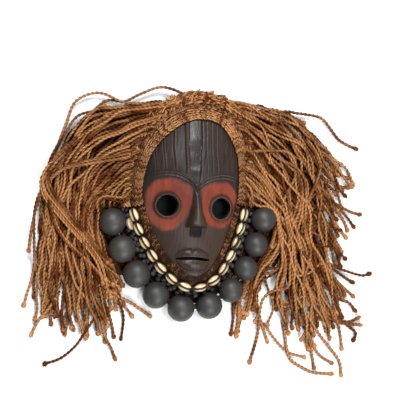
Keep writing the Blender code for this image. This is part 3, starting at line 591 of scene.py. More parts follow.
def faceFeatures(x, y):
    # Height added to the dome, and the masks that the finish reads. The off axis starts at the
    # middle of the carved features, and left is towards the smaller x.
    off = x - bowAt(y) - leanAt(y)
    brow = browLine(off)
    eyeY = face["rimTop"] - face["eyeDrop"]
    height = np.zeros_like(x)
    # groove carries painted shade to the finish.
    groove = np.zeros_like(x)
    # raised carries a painted highlight to the finish.
    raised = np.zeros_like(x)
    warm = np.zeros_like(x)

    forehead = foreheadMask(off, y)
    # Upright lines keep their own places down the forehead and drift in just over the brows.
    upright = x - 3 * mm * stepUp((-50 * mm - y) / (40 * mm))
    for place, half, depth in carving["grooves"]:
        away = upright - place * mm - 0.35 * mm * np.sin(y / (15 * mm) + place)
        cut = ridge(away, half * mm) * forehead
        height -= depth * mm * cut
        groove = np.maximum(groove, cut * min(1, depth))
        edge = ridge(away - 1.9 * mm, 0.9 * mm) * forehead
        height += 0.35 * mm * edge * min(1, depth)
        warm = np.maximum(warm, 0.55 * edge * min(1, depth))
    away = off - centreLine(y)
    cut = ridge(away, carving["centreGroove"]) * forehead
    height -= 1.0 * mm * cut
    groove = np.maximum(groove, 0.8 * cut)
    raised = np.maximum(raised, 0.45 * ridge(away - 1.7 * mm, 0.8 * mm) * forehead)
    # Left of it a smooth polished panel stands a little proud, with a rope along its edge.
    rope = upright - carving["rope"] * mm
    panel = stepUp((rope - 2 * mm) / (1.5 * mm)) * stepUp((-away - 0.6 * mm) / (1.5 * mm)) * forehead
    height += carving["panelProud"] * panel
    # It swells and sinks a little down its length, which breaks the light on it.
    height -= panel * (carving["panelDip"] * (1 - stepUp((y + 62 * mm) / (26 * mm)))
                       - carving["panelSwell"] * (1 - stepUp((y + 88 * mm) / (30 * mm))))
    for place, low in ((rope, -200 * mm), (upright - carving["patch"][0] * mm, carving["patch"][1] * mm)):
        turns = 0.5 + 0.5 * np.cos(2 * math.pi * (y + 0.7 * place) / carving["ropePitch"])
        turns = stepUp(1.4 * turns - 0.2)
        short = hump(y - low + 15 * mm, 17 * mm) if low > -100 * mm else 1.0
        bead = ridge(place, carving["ropeHalf"]) * forehead * short
        height += (0.2 + 0.9 * turns) * mm * bead
        groove = np.maximum(groove, 0.9 * bead * (1 - turns))
        raised = np.maximum(raised, 1.0 * bead * turns)
        warm = np.maximum(warm, 0.35 * bead * turns)

    span = stepUp((face["browReach"] - np.abs(off)) / (12 * mm))
    for drop in (0, carving["browLinesApart"]):
        line = ridge(y - brow + drop, carving["browLine"]) * span
        height += carving["browProud"] * line
        raised = np.maximum(raised, 0.9 * line)
        under = ridge(y - brow + drop + 1.9 * mm, 1.0 * mm) * span
        height -= 0.7 * mm * under
        groove = np.maximum(groove, 0.6 * under)
    over = ridge(y - brow - 1.9 * mm, 1.0 * mm) * span
    height -= 0.6 * mm * over
    groove = np.maximum(groove, 0.7 * over)

    share = (face["rimTop"] - face["noseDrop"] - y) / face["noseLength"]
    along = np.clip(share, 0, 1)
    width = face["noseBridge"] + (face["noseWings"] - face["noseBridge"]) * along ** 2.4
    aside = off - face["noseLean"] * along
    profile = np.maximum(0, 1 - (np.abs(aside) / width) ** 2.3) ** 0.95
    falling = 1 - stepUp((share - 1) / 0.075)
    nose = face["noseProud"] * along ** 1.15 * profile * falling * stepUp(share / 0.06)
    # Wings of the nose stand apart from the ridge.
    wing = ridge(np.abs(aside) - 9.5 * mm, 5.5 * mm) * ridge(share - 0.92, 0.16) * falling
    height += nose + face["wingProud"] * wing
    crest = ridge(aside, 4 * mm) * stepUp((share - 0.35) / 0.4) * falling * (share < 1.05)
    raised = np.maximum(raised, 0.25 * crest)
    # A hollow under the nose, down to the upper lip, painted dark as its shadow.
    hollow = stepUp((9 * mm - np.abs(aside)) / (2 * mm)) * hump(share - 1.13, 0.17)
    height -= face["hollowDepth"] * hollow
    groove = np.maximum(groove, hollow)

    fromMouth = rimBottom + face["mouthRise"] - y
    peak = face["lipsHalfHeight"] * np.where(fromMouth < 0, 0.86, 1.0)
    bend = 2.4 * mm * ridge(off, 4 * mm) * (fromMouth < 0)
    oval = (off / face["lipsHalfWidth"]) ** 2 + ((np.abs(fromMouth) + bend) / peak) ** 2
    swell = np.sqrt(np.clip(1 - oval, 0, 1))
    parting = 0.55 * hump(fromMouth, face["lipsHalfHeight"] * 0.42)
    height += face["lipsProud"] * swell * (1 - parting)
    lips = stepUp(swell * 1.6)
    groove = np.maximum(groove, ridge(fromMouth, 2.6 * mm) * hump(off, face["mouthHalfWidth"]))
    chin = ridge(fromMouth - 33 * mm, 15 * mm) * ridge(off, 22 * mm)
    height += face["chinProud"] * chin

    across = (np.abs(off) - face["eyeApart"]) / face["socketWidth"]
    down = (eyeY - y) / face["socketHeight"]
    reach = np.hypot(across, down)
    socket = stepUp(1.6 * (1 - reach)) * stepUp((brow - 5 * mm - y) / (3 * mm))
    height -= face["socketDepth"] * socket
    radius = np.hypot(np.abs(off) - face["eyeApart"], y - eyeY)
    outer = face["eyeHole"] + face["eyeRimWall"]
    rimRise = stepUp((outer + 1.6 * mm - radius) / (2.2 * mm))
    lip = hump(radius - face["eyeHole"] - 1.2 * mm, 2.6 * mm)
    height += face["eyeRimProud"] * rimRise * (0.78 + 0.22 * lip)
    raised = np.maximum(raised, 0.45 * (radius < face["eyeHole"] + 1.4 * mm))
    # Painted shade lies in the step round each eye, most of all above it, and towards the brows and beside
    # the nose.
    ring = ridge(radius - outer - 0.8 * mm, 2.6 * mm)
    paintedShade = ring * (0.45 + 0.4 * np.clip((y - eyeY) / face["eyeHole"], -1, 1))
    paintedShade = np.maximum(paintedShade, 0.75 * stepUp((y - brow + 12 * mm) / (10 * mm)))
    paintedShade = np.maximum(paintedShade, 0.42 * ridge(np.abs(off), 16 * mm))

    return {"height": height, "groove": groove, "raised": raised, "warm": warm,
            "paint": paintMask(off, y, radius), "lips": lips, "paintedShade": np.clip(paintedShade, 0, 1),
            "polish": np.maximum(panel, 0.6 * lips), "panel": panel}


patches = {
    # Reach of the paint from the eye's middle, in millimetres, by the angle from the nose side.
    "left": ((0, 35), (15, 37.5), (37, 43), (66, 41), (95, 41), (120, 40), (146, 36), (184, 31),
             (221, 33), (251, 36), (281, 37.5), (316, 33), (346, 32.5), (360, 35)),
    "right": ((0, 34), (9, 35), (34, 44), (53, 42.5), (82, 40), (112, 38), (139, 33), (183, 28),
              (234, 28), (292, 31), (323, 31), (360, 34)),
}


def paintMask(off, y, radius):
    # A rounded patch round each eye that runs up to the join of the brows.
    eyeY = face["rimTop"] - face["eyeDrop"]
    towards = face["eyeApart"] - np.abs(off)
    angle = np.degrees(np.arctan2(y - eyeY, towards)) % 360
    reach = np.where(off < 0, smoothThrough(patches["left"], angle), smoothThrough(patches["right"], angle))
    ragged = 1.1 * mm * np.sin(off / (4.1 * mm)) * np.cos(y / (4.7 * mm))
    mask = stepUp((reach * mm + ragged + 3.5 * mm - radius) / (11 * mm))
    mask *= stepUp((np.abs(off) - 2.2 * mm) / (2 * mm))
    return mask * stepUp((radius - face["eyeHole"] - 2.2 * mm) / (1.4 * mm))


def frontAt(x, y):
    features = faceFeatures(x, y)
    grain = carving["grain"] * (np.sin(x / (0.9 * mm) + 3 * np.sin(y / (21 * mm)))
                                * np.sin(y / (13 * mm) + x / (5 * mm)))
    adze = 0.22 * mm * np.sin(x / (5.2 * mm) + 1.3) * np.sin(y / (7.4 * mm) + 0.6)
    return domeAt(x, y) + features["height"] + (grain + adze) * (1 - features["panel"])


def heightBlock(name, xs, ys, zs, bottom):
    # Closed solid from a grid of points, with a flat back.
    rows, columns = xs.shape
    verts = list(zip(xs.ravel().tolist(), ys.ravel().tolist(), zs.ravel().tolist()))

    def upper(r, c):
        return r * columns + c

    faces = []
    for r in range(rows - 1):
        for c in range(columns - 1):
            faces.append((upper(r, c), upper(r + 1, c), upper(r + 1, c + 1), upper(r, c + 1)))
    border = ([(0, c) for c in range(columns)] + [(r, columns - 1) for r in range(1, rows)]
              + [(rows - 1, c) for c in range(columns - 2, -1, -1)]
              + [(r, 0) for r in range(rows - 2, 0, -1)])
    base = len(verts)
    for r, c in border:
        verts.append((float(xs[r, c]), float(ys[r, c]), bottom))
    count = len(border)
    for i in range(count):
        j = (i + 1) % count
        faces.append((upper(*border[i]), upper(*border[j]), base + j, base + i))
    faces.append(tuple(base + count - 1 - i for i in range(count)))
    return solidMesh(name, verts, faces)


def makeFace():
    top, bottom = face["rimTop"] - 0.6 * mm, face["rimTop"] - face["length"] + 0.6 * mm
    shares = np.linspace(0, 1, face["rows"] + 1)
    shares = shares - 0.055 * np.sin(2 * math.pi * shares)
    rows = top + (bottom - top) * shares
    us = np.linspace(-1, 1, face["columns"] + 1)
    ys = np.repeat(rows[:, None], len(us), axis=1)
    xs = bowAt(ys) + us[None, :] * halfWidthAt(ys)
    wood = heightBlock("carved_face", xs, ys, frontAt(xs, ys), 0.0)

    cutters = bpy.data.collections.new("face_cutters")
    bpy.context.scene.collection.children.link(cutters)
    inset = 1 - face["rimWidth"] / face["halfWidth"]
    cavityRows = np.linspace(face["rimTop"] - face["rimWidth"],
                             face["rimTop"] - face["length"] + face["rimWidth"], 61)
    cavityUs = np.linspace(-1, 1, 41)
    cy = np.repeat(cavityRows[:, None], len(cavityUs), axis=1)
    cx = bowAt(cy) + cavityUs[None, :] * np.maximum(halfWidthAt(cy) - face["rimWidth"], 4 * mm)
    under = bowAt(cy) + cavityUs[None, :] * inset * halfWidthAt(cy)
    gouge = 0.35 * mm * np.sin(cx / (2.6 * mm)) * np.sin(cy / (4.1 * mm))
    cz = domeAt(under, cy) - face["socketDepth"] - face["wall"] + gouge
    pieces = [heightBlock("cavity", cx, cy, cz, -5 * mm)]
    span = (4 * mm, 90 * mm)            # height of the upright cutters
    eyeY = face["rimTop"] - face["eyeDrop"]
    turns = [2 * math.pi * i / 72 for i in range(72)]
    for side in (-1, 1):
        eyeX = float(bowAt(eyeY) + leanAt(eyeY)) + side * face["eyeApart"]
        pieces.append(sweep("eye_hole", [
            [(eyeX + face["eyeHole"] * math.cos(turn), eyeY + face["eyeHole"] * math.sin(turn), z)
             for turn in turns] for z in span]))
    mouthY = rimBottom + face["mouthRise"]
    mouthX = float(bowAt(mouthY))
    half = face["mouthHalfWidth"]
    upperLip = [(share * half, face["mouthSlit"] / 2 * math.sqrt(max(0.02, 1 - share ** 4)))
                for share in (2 * i / 48 - 1 for i in range(49))]
    outline = upperLip + [(x, -h) for x, h in reversed(upperLip)]
    pieces.append(sweep("mouth_slit", [
        [(mouthX + x, mouthY + 0.9 * mm * math.cos(math.pi * x / half) + h, z) for x, h in outline]
        for z in span]))
    for piece in pieces:
        bpy.context.scene.collection.objects.unlink(piece)
        cutters.objects.link(piece)
    step = wood.modifiers.new("cut", "BOOLEAN")
    step.operation = "DIFFERENCE"
    step.solver = "EXACT"
    step.operand_type = "COLLECTION"
    step.collection = cutters
    freeze(wood)
    for piece in pieces:
        bpy.data.objects.remove(piece)
    bpy.data.collections.remove(cutters)
    paintFace(wood)
    wood.data.shade_smooth()
    wood.data.set_sharp_from_angle(angle=math.radians(50))
    setMaterial(wood, finishes["wood"])
    settle(wood, "dark_wood", "wood_face")


def paintFace(wood):
    mesh = wood.data
    co = np.empty(len(mesh.vertices) * 3)
    mesh.vertices.foreach_get("co", co)
    co = co.reshape(-1, 3)
    x, y, z = co[:, 0], co[:, 1], co[:, 2]
    made = faceFeatures(x, y)
    front = domeAt(x, y) + made["height"]
    made["inside"] = stepUp((front - 2.5 * mm - z) / (0.5 * mm))
    below = stepUp((browLine(x - bowAt(y) - leanAt(y)) - y) / (60 * mm))
    made["lower"] = np.clip(below * 0.9 + 0.5 * made["lips"], 0, 1)
    for name in faceMasks:
        layer = mesh.attributes.new(name, "FLOAT", "POINT")
        layer.data.foreach_set("value", np.asarray(made[name], dtype=np.float32))


def freeze(obj):
    # Writes the evaluated shape into the object's own mesh and drops its modifiers.
    depsgraph = bpy.context.evaluated_depsgraph_get()
    mesh = bpy.data.meshes.new_from_object(obj.evaluated_get(depsgraph))
    obj.modifiers.clear()
    obj.data = mesh
    return obj


def setMaterial(obj, finish):
    obj.data.materials.clear()
    obj.data.materials.append(finish)


def settle(obj, slot, *nodes):
    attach(obj, "root")
    if nodes:
        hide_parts(*nodes)
    obj.data.calc_loop_triangles()
    print(obj.name, len(obj.data.loop_triangles), "triangles")


# Geometry Nodes

def growthTree(name, inputs):
    return newTree("GeometryNodeTree", name,
                   [("Geometry", "Geometry"), *inputs, ("Seed", "Int"), ("Material", "Material")],
                   [("Geometry", "Geometry")])


def readLayer(tree, name, kind="FLOAT"):
    return addNode(tree, "GeometryNodeInputNamedAttribute", {"Name": name}, data_type=kind).outputs[0]


def storeLayer(tree, geometry, name, value, domain="POINT"):
    return addNode(tree, "GeometryNodeStoreNamedAttribute",
                   {"Geometry": geometry, "Name": name, "Value": value},
                   data_type="FLOAT", domain=domain).outputs[0]


def between(tree, value, high):
    # Keeps a value from zero up to a limit.
    return mathNode(tree, "MINIMUM", mathNode(tree, "MAXIMUM", value, 0.0), high)


def chanceNode(tree, inputs):
    return addNode(tree, "FunctionNodeRandomValue", inputs, data_type="FLOAT").outputs[1]


def chanceVector(tree, low, high, seed):
    return addNode(tree, "FunctionNodeRandomValue", {0: low, 1: high, "Seed": seed},
                   data_type="FLOAT_VECTOR").outputs[0]


def spreadBalls(tree, points, segments, ringCount, radius, inputs):
    # A ball on every point.
    ball = addNode(tree, "GeometryNodeMeshUVSphere",
                   {"Segments": segments, "Rings": ringCount, "Radius": radius}).outputs["Mesh"]
    return addNode(tree, "GeometryNodeInstanceOnPoints",
                   {"Points": points, "Instance": ball, **inputs}).outputs[0]


def lumpy(tree, instances, scale, detail, middle, strength):
    # Makes the instances real and pushes their surface in and out by a noise.
    real = addNode(tree, "GeometryNodeRealizeInstances", {0: instances}).outputs[0]
    place = addNode(tree, "GeometryNodeInputPosition", {}).outputs[0]
    lumps = noiseNode(tree, place, scale, detail)
    rise = times(tree, mathNode(tree, "SUBTRACT", lumps, middle), strength)
    push = scaleVector(tree, addNode(tree, "GeometryNodeInputNormal", {}).outputs[0], rise)
    moved = addNode(tree, "GeometryNodeSetPosition", {"Geometry": real, "Offset": push})
    return moved.outputs[0], lumps


def endTree(tree, start, end, geometry):
    real = addNode(tree, "GeometryNodeRealizeInstances", {0: geometry}).outputs[0]
    smooth = addNode(tree, "GeometryNodeSetShadeSmooth", {0: real}).outputs[0]
    coat = addNode(tree, "GeometryNodeSetMaterial", {"Geometry": smooth, "Material": start["Material"]})
    feed(tree, end["Geometry"], coat.outputs[0])
    return tree


def cordTree():
    # Twisted two-ply cord along every spline, with a lump of a knot at its far end.
    tree, start, end = growthTree("twistedCord", [
        ("Ring spacing", "Float"), ("Radius", "Float"), ("Twist pitch", "Float"),
        ("Ply depth", "Float"), ("Sides", "Int"), ("Knot", "Float")])
    lines = addNode(tree, "GeometryNodeMeshToCurve", {"Mesh": start["Geometry"]})
    even = addNode(tree, "GeometryNodeResampleCurve",
                   {"Curve": lines.outputs["Curve"], "Length": start["Ring spacing"]}, mode="LENGTH")
    along = addNode(tree, "GeometryNodeSplineParameter", {})
    which = addNode(tree, "GeometryNodeCurveOfPoint", {})
    chance = chanceNode(tree, {"ID": which.outputs["Curve Index"], "Seed": start["Seed"]})
    turns = mathNode(tree, "DIVIDE", along.outputs["Length"], start["Twist pitch"])
    tilt = addNode(tree, "GeometryNodeSetCurveTilt", {
        "Curve": even.outputs["Curve"],
        "Tilt": times(tree, mathNode(tree, "ADD", turns, chance), 2 * math.pi)})
    spines = storeLayer(tree, tilt.outputs["Curve"], "shade", chance)

    # Two lobes: the radius swells twice round the section.
    circle = addNode(tree, "GeometryNodeCurvePrimitiveCircle",
                     {"Resolution": start["Sides"], "Radius": start["Radius"]}, mode="RADIUS")
    place = addNode(tree, "GeometryNodeInputPosition", {}).outputs[0]
    split = addNode(tree, "ShaderNodeSeparateXYZ", {0: place}).outputs
    angle = mathNode(tree, "ARCTAN2", split["Y"], split["X"])
    wave = mathNode(tree, "COSINE", times(tree, angle, 2.0), 0.0)
    swell = mathNode(tree, "ADD", 1.0, times(tree, wave, start["Ply depth"]))
    lobes = addNode(tree, "GeometryNodeSetPosition",
                    {"Geometry": circle.outputs["Curve"], "Position": scaleVector(tree, place, swell)})
    # The dip between the plies is stored as crease, which paints shade there.
    dip = mathNode(tree, "SUBTRACT", 0.12, times(tree, wave, 1.1))
    dip = times(tree, mathNode(tree, "MAXIMUM", dip, 0.0), start["Ply depth"])
    section = storeLayer(tree, lobes.outputs["Geometry"], "crease", times(tree, dip, 3.0))
    cord = addNode(tree, "GeometryNodeCurveToMesh",
                   {"Curve": spines, "Profile Curve": section, "Scale": readLayer(tree, "thick"),
                    "Fill Caps": True})

    # Painted shade: the sides of a cord are darker than its top.
    normal = addNode(tree, "GeometryNodeInputNormal", {}).outputs[0]
    facing = addNode(tree, "ShaderNodeSeparateXYZ", {0: normal}).outputs["Z"]
    side = between(tree, times(tree, mathNode(tree, "SUBTRACT", 0.80, facing), 1.5), 0.95)
    dirtAndShade = storeLayer(tree, cord.outputs[0], "crease",
                       mathNode(tree, "MAXIMUM", readLayer(tree, "crease"), side))

    # Knots
    tips = addNode(tree, "GeometryNodeCurveEndpointSelection", {"Start Size": 0, "End Size": 1})
    tied = addNode(tree, "FunctionNodeCompare", {0: start["Knot"]},
                   data_type="FLOAT", operation="GREATER_THAN")
    chosen = addNode(tree, "FunctionNodeBooleanMath", {0: tips.outputs[0], 1: tied.outputs[0]},
                     operation="AND")
    tangent = addNode(tree, "GeometryNodeInputTangent", {}).outputs[0]
    aim = addNode(tree, "FunctionNodeAlignRotationToVector", {"Vector": tangent}, axis="Z")
    size = chanceVector(tree, (0.85, 0.85, 0.95), (1.1, 1.1, 1.35), start["Seed"])
    knots = spreadBalls(tree, spines, 8, 6, 1.0, {
        "Selection": chosen.outputs[0], "Rotation": aim.outputs[0],
        "Scale": scaleVector(tree, size, start["Knot"])})
    moved, lumps = lumpy(tree, knots, 420, 1, 0.45, 5 * mm)
    # Hollows in a knot are stored as crease, which paints shade there.
    hollow = times(tree, mathNode(tree, "SUBTRACT", 0.52, lumps), 4.0)
    fold = storeLayer(tree, moved, "crease", between(tree, hollow, 0.7))
    both = addNode(tree, "GeometryNodeJoinGeometry", {0: dirtAndShade})
    feed(tree, both.inputs[0], fold)
    return endTree(tree, start, end, both.outputs[0])


cordNodes = cordTree()


def stitchTree():
    # A grain-shaped stitch on every point, set by the point's own facing and heading.
    tree, start, end = growthTree("stitches", [
        ("Length", "Float"), ("Width", "Float"), ("Height", "Float"), ("Slant", "Float"),
        ("Unevenness", "Float")])
    ground = addNode(tree, "FunctionNodeAxesToRotation",
                     {0: readLayer(tree, "facing", "FLOAT_VECTOR"),
                      1: readLayer(tree, "heading", "FLOAT_VECTOR")},
                     primary_axis="Z", secondary_axis="X")
    chance = chanceNode(tree, {"Seed": start["Seed"]})
    jitter = times(tree, mathNode(tree, "SUBTRACT", chance, 0.5), start["Unevenness"])
    slant = mathNode(tree, "ADD", times(tree, readLayer(tree, "lean"), start["Slant"]), jitter)
    angles = addNode(tree, "ShaderNodeCombineXYZ", {"Z": slant}).outputs[0]
    local = addNode(tree, "FunctionNodeEulerToRotation", {0: angles}).outputs[0]
    turned = addNode(tree, "FunctionNodeRotateRotation", {0: ground.outputs[0], 1: local},
                     rotation_space="LOCAL").outputs[0]
    varied = mathNode(tree, "ADD", 0.88, times(tree, chance, 0.24))
    size = addNode(tree, "ShaderNodeCombineXYZ", {
        "X": times(tree, start["Length"], varied), "Y": times(tree, start["Width"], varied),
        "Z": times(tree, start["Height"], varied)}).outputs[0]
    grains = spreadBalls(tree, start["Geometry"], 8, 6, 0.5, {"Rotation": turned, "Scale": size})
    shaded = storeLayer(tree, grains, "shade", chanceNode(tree, {"Seed": 7}), "INSTANCE")
    return endTree(tree, start, end, shaded)


stitchNodes = stitchTree()


def beadTree():
    # An uneven bead on every point, turned and sized by chance.
    tree, start, end = growthTree("unevenBeads", [("Radius", "Float"), ("Lumps", "Float")])
    spin = chanceVector(tree, (-math.pi,) * 3, (math.pi,) * 3, start["Seed"])
    size = chanceVector(tree, (0.82, 0.82, 0.7), (1.04, 1.04, 0.98), start["Seed"])
    turned = addNode(tree, "FunctionNodeEulerToRotation", {0: spin}).outputs[0]
    spread = spreadBalls(tree, start["Geometry"], 14, 9, 1.0, {
        "Rotation": turned, "Scale": scaleVector(tree, size, start["Radius"])})
    return endTree(tree, start, end, lumpy(tree, spread, 260, 2, 0.5, start["Lumps"])[0])


beadNodes = beadTree()


def carrier(name, points, edges, layers):
    # Loose points or lines that carry attributes. A vector has three values a point.
    mesh = bpy.data.meshes.new(name)
    mesh.from_pydata(points, edges, [])
    for label, values in layers.items():
        kind, field = ("FLOAT_VECTOR", "vector") if len(values) > len(points) else ("FLOAT", "value")
        mesh.attributes.new(label, kind, "POINT").data.foreach_set(field, values)
    return placeNew(name, mesh)


def runNodes(obj, tree, values):
    step = obj.modifiers.new("grow", "NODES")
    step.node_group = tree
    for item in tree.interface.items_tree:
        if item.in_out == "INPUT" and item.name in values:
            step[item.identifier] = values[item.name]
    return freeze(obj)


def growCords(name, routes, facts, finish, slot, *nodes):
    # A polyline for each cord, which carries its thickness and how deep in the pile it lies; the depth paints
    # shade on the cord.
    points, edges, thick, depth = [], [], [], []
    for route in routes:
        first = len(points)
        count = len(route["points"])
        points += route["points"]
        edges += [(first + i, first + i + 1) for i in range(count - 1)]
        thick += [route["thick"]] * count
        depth += route["depth"]
    made = runNodes(carrier(name, points, edges, {"thick": thick, "depth": depth}), cordNodes, {
        "Ring spacing": facts["ringSpacing"], "Radius": facts["radius"],
        "Twist pitch": facts["twistPitch"], "Ply depth": facts["plyDepth"],
        "Sides": facts["sides"], "Knot": facts["knot"], "Seed": facts["seed"], "Material": finish})
    settle(made, slot, *nodes)
    return made


def growStitches(name, spots, facts, finish, depth):
    # Each spot is a place, a facing, a heading and a lean.
    layers = {label: [c for spot in spots for c in spot[at]]
              for label, at in (("facing", 1), ("heading", 2))}
    layers["lean"] = [float(spot[3]) for spot in spots]
    made = runNodes(carrier(name, [spot[0] for spot in spots], [], layers), stitchNodes, {
        "Length": facts["length"], "Width": facts["width"], "Height": facts["height"],
        "Slant": facts["slant"], "Unevenness": facts["unevenness"], "Seed": facts["seed"],
        "Material": finish})
    addFloat(made, "crease", 0.0)
    addFloat(made, "depth", depth)
    shadeSides(made)
    return made


def addFloat(obj, name, value):
    layer = obj.data.attributes.new(name, "FLOAT", "POINT")
    layer.data.foreach_set("value", np.full(len(obj.data.vertices), value, dtype=np.float32))


def readValues(items, field, width=1):
    values = np.empty(len(items) * width, dtype=np.float32)
    items.foreach_get(field, values)
    return values.reshape(-1, width)


def shadeSides(obj):
    # Painted shade: darkens what faces sideways or down.
    up = readValues(obj.data.vertex_normals, "vector", 3)[:, 2]
    layer = obj.data.attributes["crease"].data
    sideShade = np.maximum(readValues(layer, "value")[:, 0], np.clip((0.85 - up) * 1.8, 0, 0.9))
    layer.foreach_set("value", sideShade.astype(np.float32))


def shadeTemples(obj):
    # The band is darker towards its ends.
    low = stepUp((-25 * mm - readValues(obj.data.vertices, "co", 3)[:, 1]) / (60 * mm))
    layer = obj.data.attributes["depth"].data
    deep = np.minimum(readValues(layer, "value")[:, 0] + 0.5 * low, 0.92)
    layer.foreach_set("value", deep.astype(np.float32))


def joinPieces(name, pieces, finish):
    # One mesh from several frozen ones.
    bm = bmesh.new()
    for piece in pieces:
        bm.from_mesh(piece.data)
    first = pieces[0]
    first.data = bpy.data.meshes.new(name)
    bm.to_mesh(first.data)
    bm.free()
    first.data.shade_smooth()
    first.name = name
    for piece in pieces[1:]:
        bpy.data.objects.remove(piece)
    setMaterial(first, finish)
    return first


def baseSolid(name, rings, finish, layers):
    made = sweep(name, rings)
    for label, value in layers.items():
        addFloat(made, label, value)
    setMaterial(made, finish)
    return made


def overDome(track, distance, inward, clear):
    # A point over the wood, some way in from the rim.
    spot = track.out(distance, -inward)
    return -inward, float(domeAt(spot.x, spot.y)) + clear


def edgeAt(track, distance):
    return float(shoulderAt(track.at(distance).y))


def stitchSpot(track, distance, across, top, lean):
    height, slope = top
    normal = track.normal(distance)
    ahead = track.forward(distance)
    facing = Vector((-slope * normal.x, -slope * normal.y, 1)).normalized()
    spot = Vector((*track.out(distance, across), height - 0.5 * mm))
    return spot, facing, Vector((ahead.x, ahead.y, 0)), lean


# Headband

band = {
    "overWood": 11 * mm, "extraTop": 5 * mm, "beyond": 8 * mm, "thickness": 7 * mm, "back": 1 * mm,
    "clear": 0.6 * mm, "stations": 200,
    # share of the way in (negative) or out, then pitch, length, width and depth of shade
    "rows": ((-0.98, 2.9, 6.2, 2.3, 0.0), (-0.78, 2.9, 6.2, 2.5, 0.0), (-0.58, 2.9, 6.2, 2.5, 0.05),
             (-0.38, 2.9, 6.2, 2.5, 0.0), (-0.18, 3.0, 6.6, 2.6, 0.1), (0.1, 3.3, 8.0, 2.8, 0.3),
             (0.42, 3.3, 8.4, 3.0, 0.4), (0.78, 3.3, 8.4, 3.0, 0.45)),
}


def bandInner(distance):
    y = upperTrack.at(distance).y
    return band["overWood"] + band["extraTop"] * float(stepUp((y + 75 * mm) / (70 * mm)))


def bandTop(distance, across):
    # Height and outward slope of the band's upper surface.
    edge = edgeAt(upperTrack, distance)
    reach = bandInner(distance)
    thickness = band["thickness"]
    points = (overDome(upperTrack, distance, reach, thickness * 0.72),
              overDome(upperTrack, distance, reach / 2, thickness * 1.05),
              (band["beyond"] * 0.4, edge + thickness * 0.92),
              (band["beyond"], edge - thickness * 0.25))
    heights = [smoothThrough(points, [across + d])[0] for d in (-0.5 * mm, 0, 0.5 * mm)]
    return float(heights[1]), float(heights[2] - heights[0]) / mm


def makeHeadband():
    rings = []
    count = band["stations"]
    for i in range(count + 1):
        distance = upperTrack.length * i / count
        reach = bandInner(distance)
        section = []
        for k in range(9):
            across = -reach + (reach + band["beyond"]) * k / 8
            section.append((across, bandTop(distance, across)[0] - 1.0 * mm))
        section += [(band["beyond"], band["back"]), (band["clear"], band["back"]),
                    (band["clear"], edgeAt(upperTrack, distance) + band["clear"])]
        section += [overDome(upperTrack, distance, reach * share, band["clear"]) for share in (0.5, 1.0)]
        rings.append([(*upperTrack.out(distance, n), z) for n, z in section])
    # The base between the stitches is painted dark, as shade.
    pieces = [baseSolid("headband_base", rings, finishes["band"],
                        {"crease": 0.9, "shade": 0.2, "depth": 0.5})]
    rng = random.Random(3)
    for number, (share, pitch, length, width, depth) in enumerate(band["rows"]):
        spots = []
        steps = int(upperTrack.length / (pitch * mm))
        for i in range(steps + 1):
            distance = (i + 0.5 * (number % 2) + rng.uniform(-0.2, 0.2)) * pitch * mm
            if not 0 <= distance <= upperTrack.length - 1 * mm:
                continue
            across = share * (bandInner(distance) if share < 0 else band["beyond"])
            across += rng.uniform(-0.4, 0.4) * mm
            spots.append(stitchSpot(upperTrack, distance, across, bandTop(distance, across),
                                    1 if number % 2 else -1))
        facts = {"length": length * mm, "width": width * mm, "height": width * 1.05 * mm,
                 "slant": math.radians(30), "unevenness": 0.6, "seed": 11 + number}
        made = growStitches(f"band_row_{number}", spots, facts, finishes["band"], depth)
        shadeTemples(made)
        pieces.append(made)
    whole = joinPieces("plaited_headband", pieces, finishes["band"])
    settle(whole, "band_fibre", "headband")


# Jaw strip

strip = {
    "overWood": 13 * mm, "beyond": 8 * mm, "thickness": 3 * mm, "skirt": 10 * mm,
    "seatInner": 4.5 * mm, "tilt": math.radians(30), "clear": 0.6 * mm, "stations": 160,
    "gap": 0.6 * mm,
    # place across, pitch, length and width of each row of stitches, in millimetres
    "rows": ((-12.4, 2.6, 6.0, 1.7), (-10.6, 2.6, 6.4, 1.8), (-8.8, 2.6, 6.4, 1.8), (-7.0, 2.8, 6.4, 1.9),
             (-5.2, 2.8, 6.4, 1.9), (3.4, 2.8, 6.4, 1.9), (5.2, 2.8, 6.4, 1.9), (7.2, 2.8, 6.4, 1.9)),
    # place across and height of each dark string behind the beads, in millimetres
    "strings": ((9.5, 4.0), (12.0, 3.2), (14.5, 3.6), (17.0, 3.0), (19.5, 3.2), (22.0, 2.6), (24.5, 2.6),
                (27.0, 2.6)),
    "stringFacts": {"ringSpacing": 2.5 * mm, "radius": 2.0 * mm, "twistPitch": 14 * mm,
                    "plyDepth": 0.2, "sides": 6, "knot": 0.0, "seed": 2},
}


def shellSeat(edge, out):
    return edge + strip["thickness"] - math.tan(strip["tilt"]) * out


def stripTop(distance, across):
    # Height and outward slope of the strip's upper surface.
    edge = edgeAt(lowerTrack, distance)
    seat = max(shellSeat(edge, -strip["seatInner"]),
               overDome(lowerTrack, distance, strip["seatInner"], 1.5 * mm)[1])
    points = (overDome(lowerTrack, distance, strip["overWood"], strip["thickness"] * 0.8),
              (-strip["seatInner"], seat), (strip["beyond"], shellSeat(edge, strip["beyond"])))
    low = np.interp([across - 0.5 * mm, across, across + 0.5 * mm],
                    [p[0] for p in points], [p[1] for p in points])
    return float(low[1]), float(low[2] - low[0]) / mm


